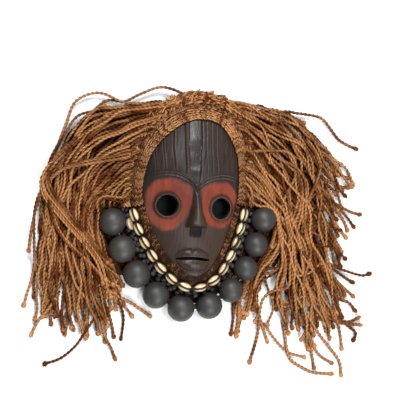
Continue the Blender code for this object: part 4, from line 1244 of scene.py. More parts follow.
def makeJawStrip():
    rings = []
    count = strip["stations"]
    for i in range(count + 1):
        distance = strip["gap"] + (lowerTrack.length - 2 * strip["gap"]) * i / count
        edge = edgeAt(lowerTrack, distance)
        section = []
        for k in range(8):
            across = -strip["overWood"] + (strip["overWood"] + strip["beyond"]) * k / 7
            section.append((across, stripTop(distance, across)[0] - 0.4 * mm))
        section += [(strip["beyond"], edge - strip["skirt"]), (strip["clear"], edge - strip["skirt"]),
                    (strip["clear"], edge + strip["clear"])]
        section += [overDome(lowerTrack, distance, inward, strip["clear"])
                    for inward in (strip["seatInner"], 9 * mm, strip["overWood"])]
        rings.append([(*lowerTrack.out(distance, n), z) for n, z in section])
    pieces = [baseSolid("strip_base", rings, finishes["strip"], {"crease": 0.6, "shade": 0.3, "depth": 0.0})]
    for number, (across, pitch, length, width) in enumerate(strip["rows"]):
        spots = []
        steps = int(lowerTrack.length / (pitch * mm))
        for i in range(steps):
            distance = strip["gap"] + 2 * mm + (i + 0.5 * (number % 2)) * pitch * mm
            if distance > lowerTrack.length - 2 * mm:
                break
            top = stripTop(distance, across * mm)
            spots.append(stitchSpot(lowerTrack, distance, across * mm, top, 1 if number % 2 else -1))
        facts = {"length": length * mm, "width": width * mm, "height": width * mm,
                 "slant": math.radians(30), "unevenness": 1.3, "seed": 31 + number}
        pieces.append(growStitches(f"strip_row_{number}", spots, facts, finishes["strip"], 0.0))
    whole = joinPieces("woven_jaw_strip", pieces, finishes["strip"])
    settle(whole, "strip_fibre", "jaw_strip")
    makeStrings()


def makeStrings():
    # Dark strings behind the beads, which also fill the gaps down to the floor with painted shade, and the
    # one that the seed balls are threaded on.
    rng = random.Random(12)
    routes = []
    for out, low in strip["strings"]:
        points = []
        turn = rng.uniform(0, 6)
        for distance in np.arange(4 * mm, lowerTrack.length - 4 * mm, 4 * mm):
            rise = 0.3 * (edgeAt(lowerTrack, distance) - face["templeShoulder"])
            spot = lowerTrack.out(distance, out * mm + 0.8 * mm * math.sin(distance / (7 * mm) + turn))
            points.append((spot.x, spot.y, max(low * mm + rise, 2.5 * mm)))
        routes.append({"points": points, "depth": [0.3] * len(points), "thick": 1.0})
    threaded = [(x, y, 0.75 * radius) for x, y, radius in ballSpots()]
    routes.append({"points": threaded, "depth": [0.4] * len(threaded), "thick": 1.6})
    growCords("bead_strings", routes, strip["stringFacts"], finishes["strip"], "strip_fibre", "jaw_strip")


# Cowrie shells

cowrie = {
    "count": 14, "length": 20 * mm, "width": 14 * mm, "height": 9 * mm, "pitch": 21 * mm,
    "out": 2 * mm, "lift": 0.9 * mm, "edgeTilt": math.radians(80), "around": 44, "along": 30,
    "slitHalf": 1.9 * mm, "slitDepth": 3.0 * mm, "teeth": 11,
}


def cowrieMesh(name, seed, broken=False):
    # The slit runs along X and faces up. A broken shell has its slit opened wider.
    rng = random.Random(seed)
    fat = rng.uniform(0.94, 1.05)
    verts, masks = [], []
    along, around = cowrie["along"], cowrie["around"]
    for i in range(along + 1):
        share = (1 - math.cos(math.pi * (0.02 + 0.96 * i / along))) / 2
        x = (share - 0.5) * cowrie["length"]
        girth = math.sqrt(max(0, 1 - (2 * share - 1) ** 2)) ** 0.92 * (1.05 - 0.12 * share) * fat
        for k in range(around):
            turn = 2 * math.pi * k / around + math.pi / 2
            y = math.cos(turn) * cowrie["width"] / 2 * girth
            up = math.sin(turn)
            z = cowrie["height"] * (0.42 + (0.58 if up > 0 else 0.42) * up * max(girth, 0.15))
            cut = 0
            if up > 0:
                opening = cowrie["slitHalf"] * (0.72 + 0.5 * abs(2 * share - 1) ** 2.5)
                if broken:
                    opening *= 1.9
                cut = math.exp(-(y / opening) ** 2)
                tooth = 0.5 + 0.5 * math.cos(2 * math.pi * cowrie["teeth"] * share)
                lip = math.exp(-((abs(y) - opening * 1.9) / (0.9 * mm)) ** 2)
                z += 0.45 * mm * lip * (0.4 + 0.6 * tooth) - cowrie["slitDepth"] * cut
            rim = min(1, max(0, (0.66 - up) / 0.42))
            verts.append((x, y, z))
            masks.append((min(1, cut * 1.5 + 0.3 * (cut > 0.03)), rim))
    faces = []
    for i in range(along):
        for k in range(around):
            j = (k + 1) % around
            faces.append((i * around + k, (i + 1) * around + k, (i + 1) * around + j, i * around + j))
    faces.append(tuple(range(around)))
    faces.append(tuple(along * around + around - 1 - k for k in range(around)))
    made = solidMesh(name, verts, faces)
    blush = 0.0 if broken else rng.choice((0.0, 0.05, 0.15, 0.3, 0.55))
    layers = {"slit": [float(m[0]) for m in masks], "edge": [float(m[1]) for m in masks],
              "blush": [blush * (0.5 if v[1] > 0 else 1.0) for v in verts]}
    for label, values in layers.items():
        made.data.attributes.new(label, "FLOAT", "POINT").data.foreach_set("value", values)
    made.data.shade_smooth()
    setMaterial(made, finishes["shell"])
    return made


def bakePlace(obj, centre, along, up):
    forward = Vector(along).normalized()
    normal = Vector(up).normalized()
    across = normal.cross(forward).normalized()
    forward = across.cross(normal)
    turn = Matrix((forward, across, normal)).transposed().to_4x4()
    obj.data.transform(Matrix.Translation(centre) @ turn)


def seatPoint(distance, out, lift):
    point = lowerTrack.out(distance, out)
    return Vector((point.x, point.y, shellSeat(edgeAt(lowerTrack, distance), out) + lift))


def makeCowries():
    row = (cowrie["count"] - 1) * cowrie["pitch"]
    start = (lowerTrack.length + row) / 2
    reach = cowrie["length"] * 0.4
    rng = random.Random(5)
    for i in range(cowrie["count"]):
        number = i + 2
        distance = start - i * cowrie["pitch"]
        normal = lowerTrack.normal(distance)
        back, centre, ahead = (seatPoint(distance + d, cowrie["out"], cowrie["lift"])
                               for d in (-reach, 0, reach))
        lean = strip["tilt"] + math.radians(rng.uniform(-9, 6))
        up = Vector((*(normal * math.sin(lean)), math.cos(lean)))
        made = cowrieMesh(f"shell_{number:02d}", 40 + number, broken=number == 13)
        sway = Matrix.Rotation(math.radians(rng.uniform(-7, 7)), 3, up)
        bakePlace(made, centre, sway @ (ahead - back), up)
        settle(made, "shell", f"cowrie_{number:02d}")
    # The first shell stands on edge outside the row.
    distance = start - cowrie["pitch"] / 2
    normal = lowerTrack.normal(distance)
    base = lowerTrack.out(distance, strip["beyond"] + 1.5 * mm)
    lift = edgeAt(lowerTrack, distance) + cowrie["width"] * 0.65
    up = Vector((*(normal * math.sin(cowrie["edgeTilt"])), math.cos(cowrie["edgeTilt"])))
    made = cowrieMesh("shell_01", 41)
    bakePlace(made, Vector((*base, lift)), Vector((-normal.y, normal.x, 0)), up)
    settle(made, "shell", "cowrie_01")


# Small beads

beads = {
    # place across, pitch, height, radius and shift along of each row, in millimetres
    "rows": ((12.4, 8.0, 6.0, 4.5, 0.0), (11.2, 8.4, 13.0, 4.3, 0.5), (16.4, 9.6, 11.5, 4.2, 0.3)),
    "lumps": 1.4 * mm,
}


def makeBeads():
    pieces = []
    rng = random.Random(9)
    for number, (out, pitch, height, radius, shift) in enumerate(beads["rows"]):
        points = []
        count = int(lowerTrack.length / (pitch * mm))
        for i in range(count):
            distance = (i + 0.5 + shift) * pitch * mm
            if distance > lowerTrack.length - 2 * mm:
                break
            rise = 0.25 * (edgeAt(lowerTrack, distance) - face["templeShoulder"])
            spot = lowerTrack.out(distance, (out + rng.uniform(-0.6, 0.6)) * mm)
            points.append((spot.x, spot.y, height * mm + rise * (1 + 0.6 * (number > 0))))
        source = carrier(f"bead_row_{number}", points, [], {})
        pieces.append(runNodes(source, beadNodes, {
            "Radius": radius * mm, "Lumps": beads["lumps"], "Seed": 3 + number,
            "Material": finishes["bead"]}))
    whole = joinPieces("dark_beads", pieces, finishes["bead"])
    settle(whole, "bead", "small_beads")


# Seed balls

balls = {"count": 10, "segments": 56, "rings": 36, "dirtAndShade": 2, "inset": 0.35 * mm}


def ballSpots():
    # Middle and radius of each seed ball, as the frame has them.
    spots = []
    for number in range(1, balls["count"] + 1):
        low, high = (Vector(c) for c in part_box(f"seed_ball_{number:02d}"))
        spots.append(((low.x + high.x) / 2, (low.y + high.y) / 2, (high.z - low.z) / 2))
    return spots


def makeBalls():
    for number in range(1, balls["count"] + 1):
        low, high = (Vector(c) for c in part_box(f"seed_ball_{number:02d}"))
        centre, radius = (low + high) / 2, (high.z - low.z) / 2
        rng = random.Random(number)
        offset = Vector((rng.uniform(0, 50), rng.uniform(0, 50), number * 7.0))
        bm = bmesh.new()
        bmesh.ops.create_uvsphere(bm, u_segments=balls["segments"], v_segments=balls["rings"],
                                  radius=radius)
        for vert in bm.verts:
            away = vert.co.normalized()
            dent = noise.noise(away * 1.6 + offset) * 0.35 + noise.noise(away * 9 + offset) * 0.10
            vert.co = away * (radius - balls["inset"] + dent * mm)
            vert.co += centre
            vert.co.z = max(vert.co.z, low.z + 0.05 * mm)
        made = addMesh(f"ball_{number:02d}", bm)
        addFloat(made, "shade", 1.0 if number == balls["dirtAndShade"] else rng.uniform(0, 0.25))
        setMaterial(made, finishes["seed"])
        settle(made, "seed", f"seed_ball_{number:02d}")


# Fibre cords

hair = {
    "ringSpacing": 2.1 * mm, "radius": 2.1 * mm, "twistPitch": 12.6 * mm, "plyDepth": 0.24,
    "sides": 6, "knot": 3.4 * mm, "seed": 21,
    "under": {"ringSpacing": 5 * mm, "radius": 3.2 * mm, "twistPitch": 60 * mm, "plyDepth": 0.05,
              "sides": 5, "knot": 0.0, "seed": 5},
    "left": {"count": 96, "under": 44, "toInner": 0.8, "tufts": 24},
    "right": {"count": 104, "under": 50, "toInner": 0.5, "tufts": 27},
    "stepLength": 8 * mm, "pile": 26 * mm, "tipPile": 9 * mm,
    "clump": 0.4,                   # how far a root is drawn to its tuft
    "wanderers": 0.55,              # share of the upper cords that wander
    "wander": (0.1, 0.5),           # share of a mass that such a cord crosses
    "rootOut": (10, 14),            # where a cord leaves the band, in millimetres
    "reach": (0.76, 1.02, 0.95),    # share of the way that a cord covers: least, most, usual
    "underReach": (0.5, 0.74),
    "landing": 45 * mm,             # length over which a cord comes down from the band
    "swayIn": 90 * mm,              # length over which the sway grows
    "sways": ((2, 5, 14, 24), (1, 2.2, 8, 12), (0.2, 0.5, 4, 6)),   # width and length, low and high
    "drift": 10,                    # how far a tip may drift aside, in millimetres
}

# Cords heaped under the roots at the top of the head, dimmed by painted shade.
mound = {
    # place across and drop of each cord, in millimetres
    "rows": ((11, 3), (14, 5), (17, 7), (20, 9), (23, 12), (12, 12), (16, 16), (20, 18)),
    "toLeft": 62 * mm, "toRight": 55 * mm, "step": 5 * mm,
    "cord": {"ringSpacing": 2.5 * mm, "radius": 3.0 * mm, "twistPitch": 14 * mm, "plyDepth": 0.2,
             "sides": 5, "knot": 0.0, "seed": 5},
}

roots = {
    "rows": ((1.0, 4.5), (4.5, 4.5), (8.0, 4.5), (11.5, 4.0), (15.0, 3.0)),     # out, rise
    "pitch": 3.6 * mm, "length": 10 * mm, "width": 3.2 * mm, "height": 3.4 * mm,
    "slant": math.radians(24), "unevenness": 1.0,
}

# Guides from the top of the head down to the temple, in millimetres.
guides = {}
guides["left"] = (
    ((-48, 16), (-96, 6), (-146, -6), (-190, -44), (-213, -108), (-222, -185), (-221, -262)),
    ((-78, 14), (-125, -6), (-170, -45), (-202, -110), (-214, -190), (-213, -262), (-208, -318)),
    ((-105, -18), (-151, -50), (-181, -102), (-199, -169), (-205, -243), (-204, -315)),
    ((-115, -44), (-147, -78), (-172, -131), (-185, -190), (-185, -263), (-181, -330)),
    ((-122, -66), (-146, -103), (-164, -152), (-170, -211), (-164, -277), (-153, -338)),
    ((-124, -88), (-147, -122), (-159, -174), (-155, -225), (-142, -282), (-125, -345)),
    ((-124, -102), (-146, -126), (-154, -168), (-144, -214), (-123, -260), (-102, -316)),
    ((-116, -112), (-136, -124), (-147, -152), (-143, -184), (-127, -222), (-98, -266)),
)
guides["right"] = (
    ((31, 26), (67, 19), (102, 11), (150, -9), (190, -43), (230, -80)),
    ((75, 10), (115, -8), (155, -39), (187, -75), (213, -109), (238, -142)),
    ((84, -8), (119, -34), (157, -71), (187, -113), (211, -153), (234, -192)),
    ((92, -30), (121, -62), (156, -104), (184, -149), (206, -194), (232, -240)),
    ((97, -50), (123, -87), (153, -130), (178, -175), (203, -225), (236, -290)),
    ((99, -72), (121, -110), (147, -152), (171, -201), (195, -254), (222, -325)),
    ((101, -92), (122, -128), (143, -175), (161, -223), (180, -275), (196, -335)),
    ((103, -106), (124, -134), (138, -182), (146, -235), (152, -284), (156, -338)),
    ((104, -117), (124, -138), (126, -172), (116, -205), (104, -233), (96, -268), (92, -305)),
)

# Loose cords of the outline: height at the root, then the way, in millimetres.
strayCords = {
    "left": (
        (14, ((-132, -300), (-147, -326), (-160, -348), (-180, -367), (-202, -376))),
        (13, ((-129, -300), (-118, -333), (-108, -350), (-101, -365))),
        (12, ((-132, -256), (-104, -273), (-81, -284), (-54, -301))),
        (14, ((-188, -271), (-203, -297), (-216, -315), (-224, -335))),
        (12, ((-226, -233), (-230, -259), (-234, -277), (-237, -293))),
        (12, ((-104, -278), (-93, -303), (-94, -336))),
        (14, ((-123, -282), (-110, -313), (-105, -333))),
        (10, ((-189, -259), (-202, -285), (-210, -300))),
        (9, ((-133, -290), (-119, -321), (-117, -341))),
        (8, ((-119, -267), (-91, -290), (-80, -302))),
        (16, ((-64, 10), (-110, 6), (-143, 17), (-165, 14), (-184, 0), (-193, -28), (-205, -70),
              (-214, -130))),
        (20, ((-20, 22), (-44, 31), (-64, 32), (-92, 19), (-112, 8), (-140, 6), (-172, -30))),
    ),
    "right": (
        (12, ((105, 7), (131, 12), (147, 11), (176, 9), (191, 4), (207, -13), (218, -24),
              (235, -32), (246, -35))),
        (11, ((105, 13), (131, 10), (144, 5), (161, -2))),
        (13, ((160, -30), (194, -49), (214, -56), (230, -65), (239, -77), (245, -89))),
        (12, ((176, -51), (207, -68), (223, -76), (235, -80))),
        (14, ((173, -70), (201, -86), (224, -94), (238, -94))),
        (11, ((195, -110), (226, -124), (243, -131), (258, -134))),
        (13, ((199, -104), (226, -129), (242, -144), (250, -153))),
        (12, ((191, -116), (217, -147), (230, -161), (239, -170))),
        (14, ((186, -131), (214, -170), (227, -181), (233, -191))),
        (12, ((191, -201), (224, -215), (244, -221), (267, -226), (280, -223))),
        (11, ((201, -206), (236, -228), (253, -237))),
        (13, ((202, -215), (233, -241), (256, -258))),
        (12, ((199, -237), (230, -261), (249, -268), (260, -279))),
        (10, ((196, -288), (230, -295), (252, -297), (267, -290))),
        (12, ((207, -288), (237, -299), (270, -301))),
        (9, ((221, -283), (253, -305), (264, -314), (261, -324))),
        (11, ((222, -275), (234, -302), (240, -321), (243, -337))),
        (12, ((176, -278), (201, -313), (220, -334), (240, -357), (245, -378))),
        (10, ((148, -302), (154, -333), (162, -356), (185, -370), (203, -376), (229, -377))),
        (9, ((118, -304), (136, -327), (158, -346), (185, -353))),
        (13, ((182, -307), (193, -337), (201, -367))),
        (9, ((186, -321), (207, -348), (228, -360))),
        (14, ((96, -213), (90, -238), (79, -263), (83, -294), (80, -318))),
        (12, ((94, -227), (85, -256), (77, -274), (74, -289))),
        (13, ((85, -228), (89, -251), (109, -289), (110, -322), (101, -363))),
        (11, ((91, -232), (102, -262), (113, -299), (126, -331))),
    ),
}

# Ways of the cords between a mass and its balls, painted dark as shade, and how far inward each is laid, in
# millimetres.
lowCords = {
    "shifts": (-4, 1, 6, 11, 16, 21, 26),
    "left": ((-116, -128), (-134, -138), (-143, -158), (-144, -180), (-136, -200), (-127, -216),
             (-116, -232), (-106, -243)),
    "right": ((103, -118), (116, -132), (122, -152), (117, -172), (108, -190), (101, -207), (93, -222),
              (85, -235)),
}

# Short cords over the ends of the strip, in millimetres.
endCords = {
    "left": (((-128, -140), (-104, -146)), ((-126, -146), (-104, -151)), ((-122, -134), (-102, -140))),
    "right": (((70, -128), (98, -134)), ((70, -133), (96, -139)), ((72, -138), (94, -144))),
}

# Short cords from the temples to the top ball of each side, in millimetres.
tuckedCords = {
    "left": (
        ((-107, -76), (-120, -84), (-131, -100), (-139, -115), (-144, -131), (-138, -149)),
        ((-106, -86), (-119, -99), (-129, -113), (-136, -127), (-137, -147)),
        ((-106, -96), (-117, -107), (-126, -119), (-132, -132), (-132, -147)),
        ((-107, -105), (-115, -114), (-123, -124), (-126, -135), (-126, -146)),
        ((-107, -113), (-113, -120), (-117, -129), (-118, -144)),
        ((-105, -120), (-108, -127), (-110, -135), (-111, -145)),
        ((-109, -66), (-129, -76), (-146, -89), (-155, -104), (-157, -121), (-151, -136), (-137, -152)),
        ((-110, -60), (-130, -68), (-149, -82), (-162, -100), (-166, -119), (-163, -137), (-152, -150),
         (-139, -167)),
        ((-108, -71), (-125, -81), (-142, -95), (-149, -111), (-152, -126), (-146, -141), (-136, -149)),
        ((-107, -91), (-119, -102), (-130, -116), (-138, -130), (-141, -144), (-135, -150)),
        ((-107, -81), (-121, -92), (-132, -106), (-142, -122), (-146, -136), (-142, -147), (-135, -155)),
        ((-103, -115), (-104, -123), (-103, -130), (-106, -143)),
    ),
    "right": (
        ((75, -91), (83, -97), (91, -108), (96, -120), (100, -129)),
        ((75, -98), (82, -104), (88, -113), (93, -125)),
        ((75, -85), (88, -94), (99, -104), (106, -116), (111, -129)),
        ((76, -79), (91, -89), (103, -101), (112, -114), (117, -127), (120, -144)),
        ((75, -74), (89, -81), (103, -93), (112, -106), (119, -122), (121, -142), (121, -158)),
        ((76, -102), (80, -110), (83, -118), (87, -126)),
        ((76, -82), (90, -91), (101, -102), (110, -115), (115, -129)),
        ((75, -94), (85, -102), (93, -114), (103, -128)),
    ),
}

# Cords that lie over the rest: height at the root and at the tip, then the way, in millimetres.
overCords = {
    "left": (
        (39, 14, ((-100, -70), (-113, -75), (-161, -86), (-197, -97), (-219, -122), (-229, -151),
                  (-234, -185), (-236, -214))),
        (38, 15, ((-102, -66), (-120, -72), (-163, -82), (-196, -95), (-219, -118), (-231, -150),
                  (-230, -190), (-226, -240))),
        (37, 22, ((-178, -48), (-212, -84), (-216, -112), (-203, -135), (-184, -157), (-158, -184),
                  (-139, -204), (-120, -222))),
        (36, 20, ((-190, -60), (-222, -100), (-220, -126), (-204, -146), (-181, -170), (-152, -199),
                  (-134, -222), (-124, -250))),
        (20, 9, ((-219, -163), (-214, -185), (-206, -204), (-198, -212), (-181, -219), (-169, -223),
                 (-149, -231), (-135, -243), (-119, -251), (-108, -270))),
        (32, 18, ((-217, -127), (-207, -162), (-195, -187), (-174, -209), (-154, -225), (-135, -243),
                  (-117, -256))),
        (15, 5, ((-181, -205), (-170, -225), (-151, -254), (-137, -269), (-105, -277))),
        (28, 14, ((-104, -54), (-118, -62), (-153, -101), (-164, -138), (-159, -167), (-143, -188))),
        (17, 7, ((-34, 8), (-62, 12), (-88, 6), (-112, 0), (-149, -8), (-179, -19), (-197, -50),
                 (-211, -77), (-218, -106), (-221, -140), (-222, -180))),
        (19, 8, ((-44, 2), (-66, 7), (-92, -1), (-125, -8), (-158, -18), (-184, -42), (-202, -76),
                 (-212, -112), (-217, -150), (-217, -190))),
    ),
    "right": (
        (31, 18, ((72, -53), (89, -50), (113, -48), (134, -49), (146, -62), (148, -85), (134, -118),
                  (126, -158), (120, -190))),
        (32, 22, ((29, 16), (66, -3), (88, -12), (98, -25), (105, -42), (108, -64))),
        (22, 4, ((159, -103), (152, -136), (140, -169), (120, -195), (108, -216), (94, -237), (85, -257),
                 (78, -270), (79, -296), (77, -320))),
        (24, 6, ((164, -110), (156, -142), (143, -173), (124, -199), (112, -220), (99, -242), (92, -262),
                 (86, -290))),
        (20, 12, ((199, -206), (190, -233), (180, -247), (159, -269), (139, -276))),
        (28, 14, ((164, -30), (184, -65), (182, -87), (172, -117), (166, -154), (159, -191), (140, -226))),
        (28, 12, ((145, -60), (156, -96), (159, -125), (151, -162), (142, -199), (138, -229), (128, -262))),
        (18, 7, ((22, 14), (52, 19), (86, 15), (118, 8), (146, -4), (172, -30), (189, -51), (207, -75),
                 (222, -98))),
        (20, 8, ((28, 10), (58, 13), (90, 8), (120, 0), (146, -16), (168, -42), (186, -68), (205, -100),
                 (222, -130))),
        (22, 8, ((50, 18), (80, 9), (108, -4), (135, -24), (158, -50), (178, -80), (197, -112), (215, -142))),
    ),
}


def smoothWay(points, shares):
    numbered = np.linspace(0, 1, len(points))
    return np.stack([smoothThrough(list(zip(numbered, [p[i] for p in points])), shares)
                     for i in (0, 1)], axis=1)


def alongPoints(points, shares):
    # A smooth way through points given in millimetres.
    return smoothWay([(x * mm, y * mm) for x, y in points], shares)


def partingDistance():
    distance = 0
    while upperTrack.at(distance).x < -4 * mm:
        distance += mm
    return distance


parting = partingDistance()


def rootDistance(side, share):
    if side == "left":
        return parting - 5 * mm - share * (parting - 8 * mm)
    return parting + 5 * mm + share * (upperTrack.length - parting - 8 * mm)


def onSheet(sheet, places):
    # One point for each step, at its own place between the guides.
    count = len(sheet)
    places = np.clip(places, 0, count - 1)
    low = np.minimum(places.astype(int), count - 2)
    share = (places - low)[:, None]
    steps = np.arange(sheet.shape[1])
    return sheet[low, steps] * (1 - share) + sheet[low + 1, steps] * share


def routeOf(x, y, z, depth, thick):
    points = list(zip(*(np.asarray(values).tolist() for values in (x, y, z))))
    return {"points": points, "depth": np.broadcast_to(depth, len(points)).tolist(), "thick": thick}


def clearBalls(x, y, z, spots, radius):
    # Cords that meet a ball lie against it.
    for bx, by, br in spots:
        reach = np.sqrt(np.maximum(0, br * br - (z - br) ** 2)) + radius * 0.9
        dx, dy = x - bx, y - by
        away = np.maximum(np.hypot(dx, dy), 1e-6)
        push = np.where((away < reach) & (z < 2 * br), reach / away, 1)
        x, y = bx + dx * push, by + dy * push
    return x, y


def cordRoute(side, share, layer, under, sheet, tufts, spots, rng):
    steps = sheet.shape[1]
    along = np.linspace(0, 1, steps)
    tuft = min(tufts, key=lambda t: abs(t - share))
    rootShare = share + (tuft - share) * hair["clump"]
    wander = rng.gauss(0, 0.04)
    turnAt = rng.uniform(0.05, 0.3)
    if not under and layer > 0.35 and rng.random() < hair["wanderers"]:
        inward = 1 if rng.random() < hair[side]["toInner"] else -1
        wander += inward * rng.uniform(*hair["wander"])
        turnAt = rng.uniform(0.15, 0.5)
    places = rootShare + (share - rootShare) * stepUp(along / 0.4)
    places = places + wander * stepUp((along - turnAt) / rng.uniform(0.35, 0.6))
    for tall, wave in ((rng.uniform(0.02, 0.05), rng.uniform(4, 8)), (0.012, rng.uniform(9, 16))):
        places = places + tall * np.sin(along * wave + rng.uniform(0, 6.3)) * stepUp(along / 0.3)
    way = onSheet(sheet, places * (len(sheet) - 1))
    distance = rootDistance(side, min(max(rootShare, 0), 1))
    slip = (3 + 9 * rootShare) * mm * (1 if side == "left" else -1)
    rootIn = upperTrack.out(min(max(distance + slip, 0), upperTrack.length), 2 * mm)
    rootOut = upperTrack.out(distance, rng.uniform(*hair["rootOut"]) * mm)
    shift = np.array([rootOut.x, rootOut.y]) - way[0]
    way = way + shift * (1 - stepUp(along / 0.3))[:, None]
    points = np.vstack([[rootIn.x, rootIn.y], way])
    gaps = np.hypot(*np.diff(points, axis=0).T)
    lengths = np.concatenate(([0], np.cumsum(gaps)))
    reach = lengths[-1] * (rng.uniform(*hair["underReach"]) if under else rng.triangular(*hair["reach"]))
    if side == "right" and share > 0.9:
        reach *= rng.uniform(0.72, 0.95)
    count = max(12, int(reach / hair["stepLength"]))
    at = np.linspace(0, reach, count + 1)
    x = np.interp(at, lengths, points[:, 0])
    y = np.interp(at, lengths, points[:, 1])
    over = np.maximum(0, at - lengths[-1])
    last = points[-1] - points[-3]
    last = last / np.hypot(*last)
    x += over * last[0]
    y += over * last[1]
    dx, dy = np.gradient(x), np.gradient(y)
    size = np.hypot(dx, dy)
    nx, ny = -dy / size, dx / size
    grow = stepUp(at / hair["swayIn"])
    sway = np.zeros_like(at)
    for wide, wave in [(rng.uniform(a, b), rng.uniform(c, d)) for a, b, c, d in hair["sways"]]:
        sway += wide * np.sin(at / (wave * mm) + rng.uniform(0, 6.3))
    drift = rng.uniform(-hair["drift"], hair["drift"]) * (at / reach) ** 1.7
    x += nx * (sway * grow + drift) * mm
    y += ny * (sway * grow + drift) * mm
    edge = edgeAt(upperTrack, distance)
    part = at / reach
    thick = hair["radius"]
    pile = hair["pile"] * (1 - part) ** 0.4 + hair["tipPile"] * part
    lie = thick + layer * (pile - thick)
    settled = stepUp(at / hair["landing"])
    z = (edge + 2 * mm + layer * 5 * mm) * (1 - settled) + lie * settled
    z += rng.uniform(0.4, 1.4) * mm * np.sin(at / (rng.uniform(12, 24) * mm) + rng.uniform(0, 6.3)) * grow
    z = np.maximum(z, 1.12 * (hair["under"]["radius"] if under else thick))
    z[-2:] = np.minimum(z[-2:], hair["knot"] + layer * 6 * mm)
    z[-1] = max(z[-1], hair["knot"])
    x[3:], y[3:] = clearBalls(x[3:], y[3:], z[3:], spots, thick)
    # Painted shade: cords under the pile, low in it and near their roots are darker, their free tips less so.
    deep = 1.0 if under else float(1 - stepUp((layer - 0.25) / 0.55))
    depth = deep * (1 - 0.75 * stepUp((part - 0.72) / 0.2)) if not under else deep + 0 * part
    depth = np.maximum(depth, 0.8 * (1 - stepUp((at - 12 * mm) / (22 * mm))) * (0.6 + 0.4 * deep))
    return routeOf(x, y, z, depth, rng.uniform(0.88, 1.12))


# Every tucked cord is laid four times: spread, height and depth of shade of each copy.
tuckedCopies = ((4, 15, 1.0), (2, 27, 0.05), (2, 21, 0.4), (4, 17, 1.0))


def tuckedRoutes(side, rng):
    # Short cords that leave the temple and dive in behind the top ball.
    routes = []
    inward = Vector((7 if side == "left" else -7, 4)) * mm
    for points in tuckedCords[side]:
        for spread, tall, deep in tuckedCopies:
            shift = Vector((rng.uniform(-spread, spread), rng.uniform(-2, 2))) * mm
            start = Vector(points[0]) * mm
            way = [(start + inward)[:]] + [(Vector(p) * mm + shift)[:] for p in points]
            shares = np.linspace(0, 1, 8 * len(way))
            line = smoothWay(way, shares)
            high = tall * mm + rng.uniform(-3, 4) * mm
            z = high + (rng.uniform(13, 19) * mm - high) * stepUp((shares - 0.35) / 0.65)
            depth = np.minimum(0.55 * stepUp((shares - 0.8) / 0.2) + deep, 1)
            routes.append(routeOf(line[:, 0], line[:, 1], z, depth, rng.uniform(0.85, 1.05)))
    return routes


def lowRoutes(side, spots, rng):
    # Cords low down between the mass and the balls, and over the ends of the strip, painted dark as shade.
    routes = []
    inward = 1 if side == "left" else -1
    for shift in lowCords["shifts"]:
        line = alongPoints([(x + inward * shift, y) for x, y in lowCords[side]], np.linspace(0, 1, 40))
        z = np.full(len(line), (3.6 + 0.1 * max(0, -shift)) * mm)
        x, y = clearBalls(line[:, 0], line[:, 1], z, spots, 3 * mm)
        routes.append(routeOf(x, y, z, 0.95, rng.uniform(0.95, 1.1)))
    for ends in endCords[side]:
        line = alongPoints(ends, np.linspace(0, 1, 12))
        routes.append(routeOf(line[:, 0], line[:, 1], np.full(len(line), 9 * mm), 0.95, 1.0))
    return routes


def strayRoute(height, tip, points, rng):
    shares = np.linspace(0, 1, 8 * len(points))
    line = alongPoints(points, shares)
    z = tip * mm + (height - tip) * mm * (1 - shares) ** 1.3
    z = z - 13 * mm * (1 - stepUp(shares / 0.1))
    z = np.maximum(z, hair["radius"] * 1.05)
    return routeOf(line[:, 0], line[:, 1], z, 0.0, rng.uniform(0.9, 1.1))


def liftTips(routes):
    # The knots rest on the floor.
    for route in routes:
        for i in (-2, -1):
            x, y, z = route["points"][i]
            route["points"][i] = (x, y, max(z, 1.1 * hair["knot"] * route["thick"]))


def makeRoots():
    # Where the cords are hitched on: rough lumps past the band, widest over the top of the head.
    rng = random.Random(8)
    for side in ("left", "right"):
        pieces = []
        for number, (out, rise) in enumerate(roots["rows"]):
            spots = []
            distance = (0 if side == "left" else parting) + 3 * mm
            stop = parting if side == "left" else upperTrack.length - 2 * mm
            while distance < stop:
                y = upperTrack.at(distance).y
                top = float(stepUp((y + 75 * mm) / (80 * mm)))
                beyond = band["beyond"] + (out * (0.45 + 0.55 * top) + rng.uniform(-1.5, 1.5)) * mm
                point = upperTrack.out(distance, beyond)
                ahead, normal = upperTrack.forward(distance), upperTrack.normal(distance)
                height = float(shoulderAt(y)) + (rise - 0.3 * out + rng.uniform(-1.5, 1.5)) * mm
                facing = Vector((normal.x * 0.35, normal.y * 0.35, 1)).normalized()
                outward = Vector((normal.x, normal.y, 0)) * (0.5 - 0.25 * top)
                spots.append((Vector((point.x, point.y, height)), facing,
                              Vector((ahead.x, ahead.y, 0)) + outward, rng.choice((-1, -0.5, 0.7, 1))))
                distance += roots["pitch"] * rng.uniform(0.75, 1.25) * (1 - 0.35 * top)
            pieces.append(growStitches(f"roots_{side}_{number}", spots, dict(roots, seed=51 + number),
                                       finishes["hair"], 0.25))
        whole = joinPieces(f"hair_roots_{side}", pieces, finishes["hair"])
        settle(whole, "hair_fibre", f"hair_{side}")


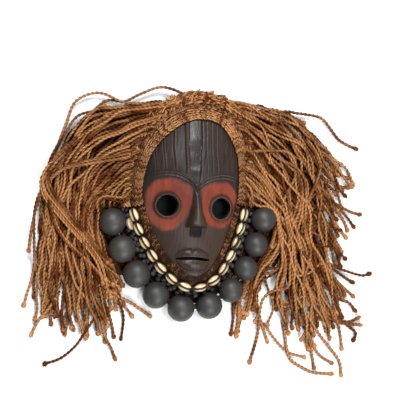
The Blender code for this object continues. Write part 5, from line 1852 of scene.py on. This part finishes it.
def makeMound(rng):
    routes = []
    for out, drop in mound["rows"]:
        points = []
        for distance in np.arange(parting - mound["toLeft"], parting + mound["toRight"], mound["step"]):
            ease = 1 - 0.35 * abs(distance - parting) / (60 * mm)
            spot = upperTrack.out(distance, (out * ease + rng.uniform(-0.7, 0.7)) * mm)
            points.append((spot.x, spot.y, float(shoulderAt(spot.y)) - drop * mm + rng.uniform(-1, 1) * mm))
        routes.append({"points": points, "depth": [0.55] * len(points), "thick": 1.0})
    growCords("hair_mound", routes, mound["cord"], finishes["hair"], "hair_fibre", "hair_left")


def makeHair():
    makeRoots()
    rng = random.Random(77)
    makeMound(rng)
    spots = ballSpots()
    for side in ("left", "right"):
        facts = hair[side]
        sheet = np.array([alongPoints(guide, np.linspace(0, 1, 40)) for guide in guides[side]])
        tufts = [(i + rng.uniform(0.1, 0.9)) / facts["tufts"] for i in range(facts["tufts"])]
        routes, hidden = [], []
        for i in range(facts["count"]):
            share = min(max((i + rng.uniform(-1, 2)) / facts["count"], 0), 1)
            routes.append(cordRoute(side, share, rng.uniform(0.12, 1), False, sheet, tufts, spots, rng))
        for i in range(facts["under"]):
            share = 0.1 + 0.9 * (i + rng.uniform(0, 1)) / facts["under"]
            hidden.append(cordRoute(side, share, rng.uniform(0, 0.3), True, sheet, tufts, spots, rng))
        hidden += lowRoutes(side, spots, rng)
        routes += [strayRoute(height, 3.4, points, rng) for height, points in strayCords[side]]
        routes += [strayRoute(*over, rng) for over in overCords[side]]
        # The crossing bundles are three cords thick.
        for height, tip, points in overCords[side][2:7]:
            for drop in (2, 5):
                dx, dy = rng.uniform(-8, 8), rng.uniform(-8, 8)
                moved = [(x + dx * min(i, 3) / 3, y + dy) for i, (x, y) in enumerate(points)]
                routes.append(strayRoute(height - drop, tip, moved, rng))
        liftTips(routes)
        growCords(f"hair_{side}_tucked", tuckedRoutes(side, rng), dict(hair, knot=0.0),
                  finishes["hair"], "hair_fibre", f"hair_{side}")
        growCords(f"hair_{side}_a", routes[0::2], hair, finishes["hair"], "hair_fibre", f"hair_{side}")
        growCords(f"hair_{side}_b", routes[1::2], dict(hair, seed=hair["seed"] + 1),
                  finishes["hair"], "hair_fibre", f"hair_{side}")
        growCords(f"hair_{side}_under", hidden, hair["under"], finishes["hair"], "hair_fibre",
                  f"hair_{side}")
        print("hair", side, len(routes) + len(hidden), "cords")


makeCamera()
makeStudio()
makeFace()
makeHeadband()
makeJawStrip()
makeCowries()
makeBeads()
makeBalls()
makeHair()
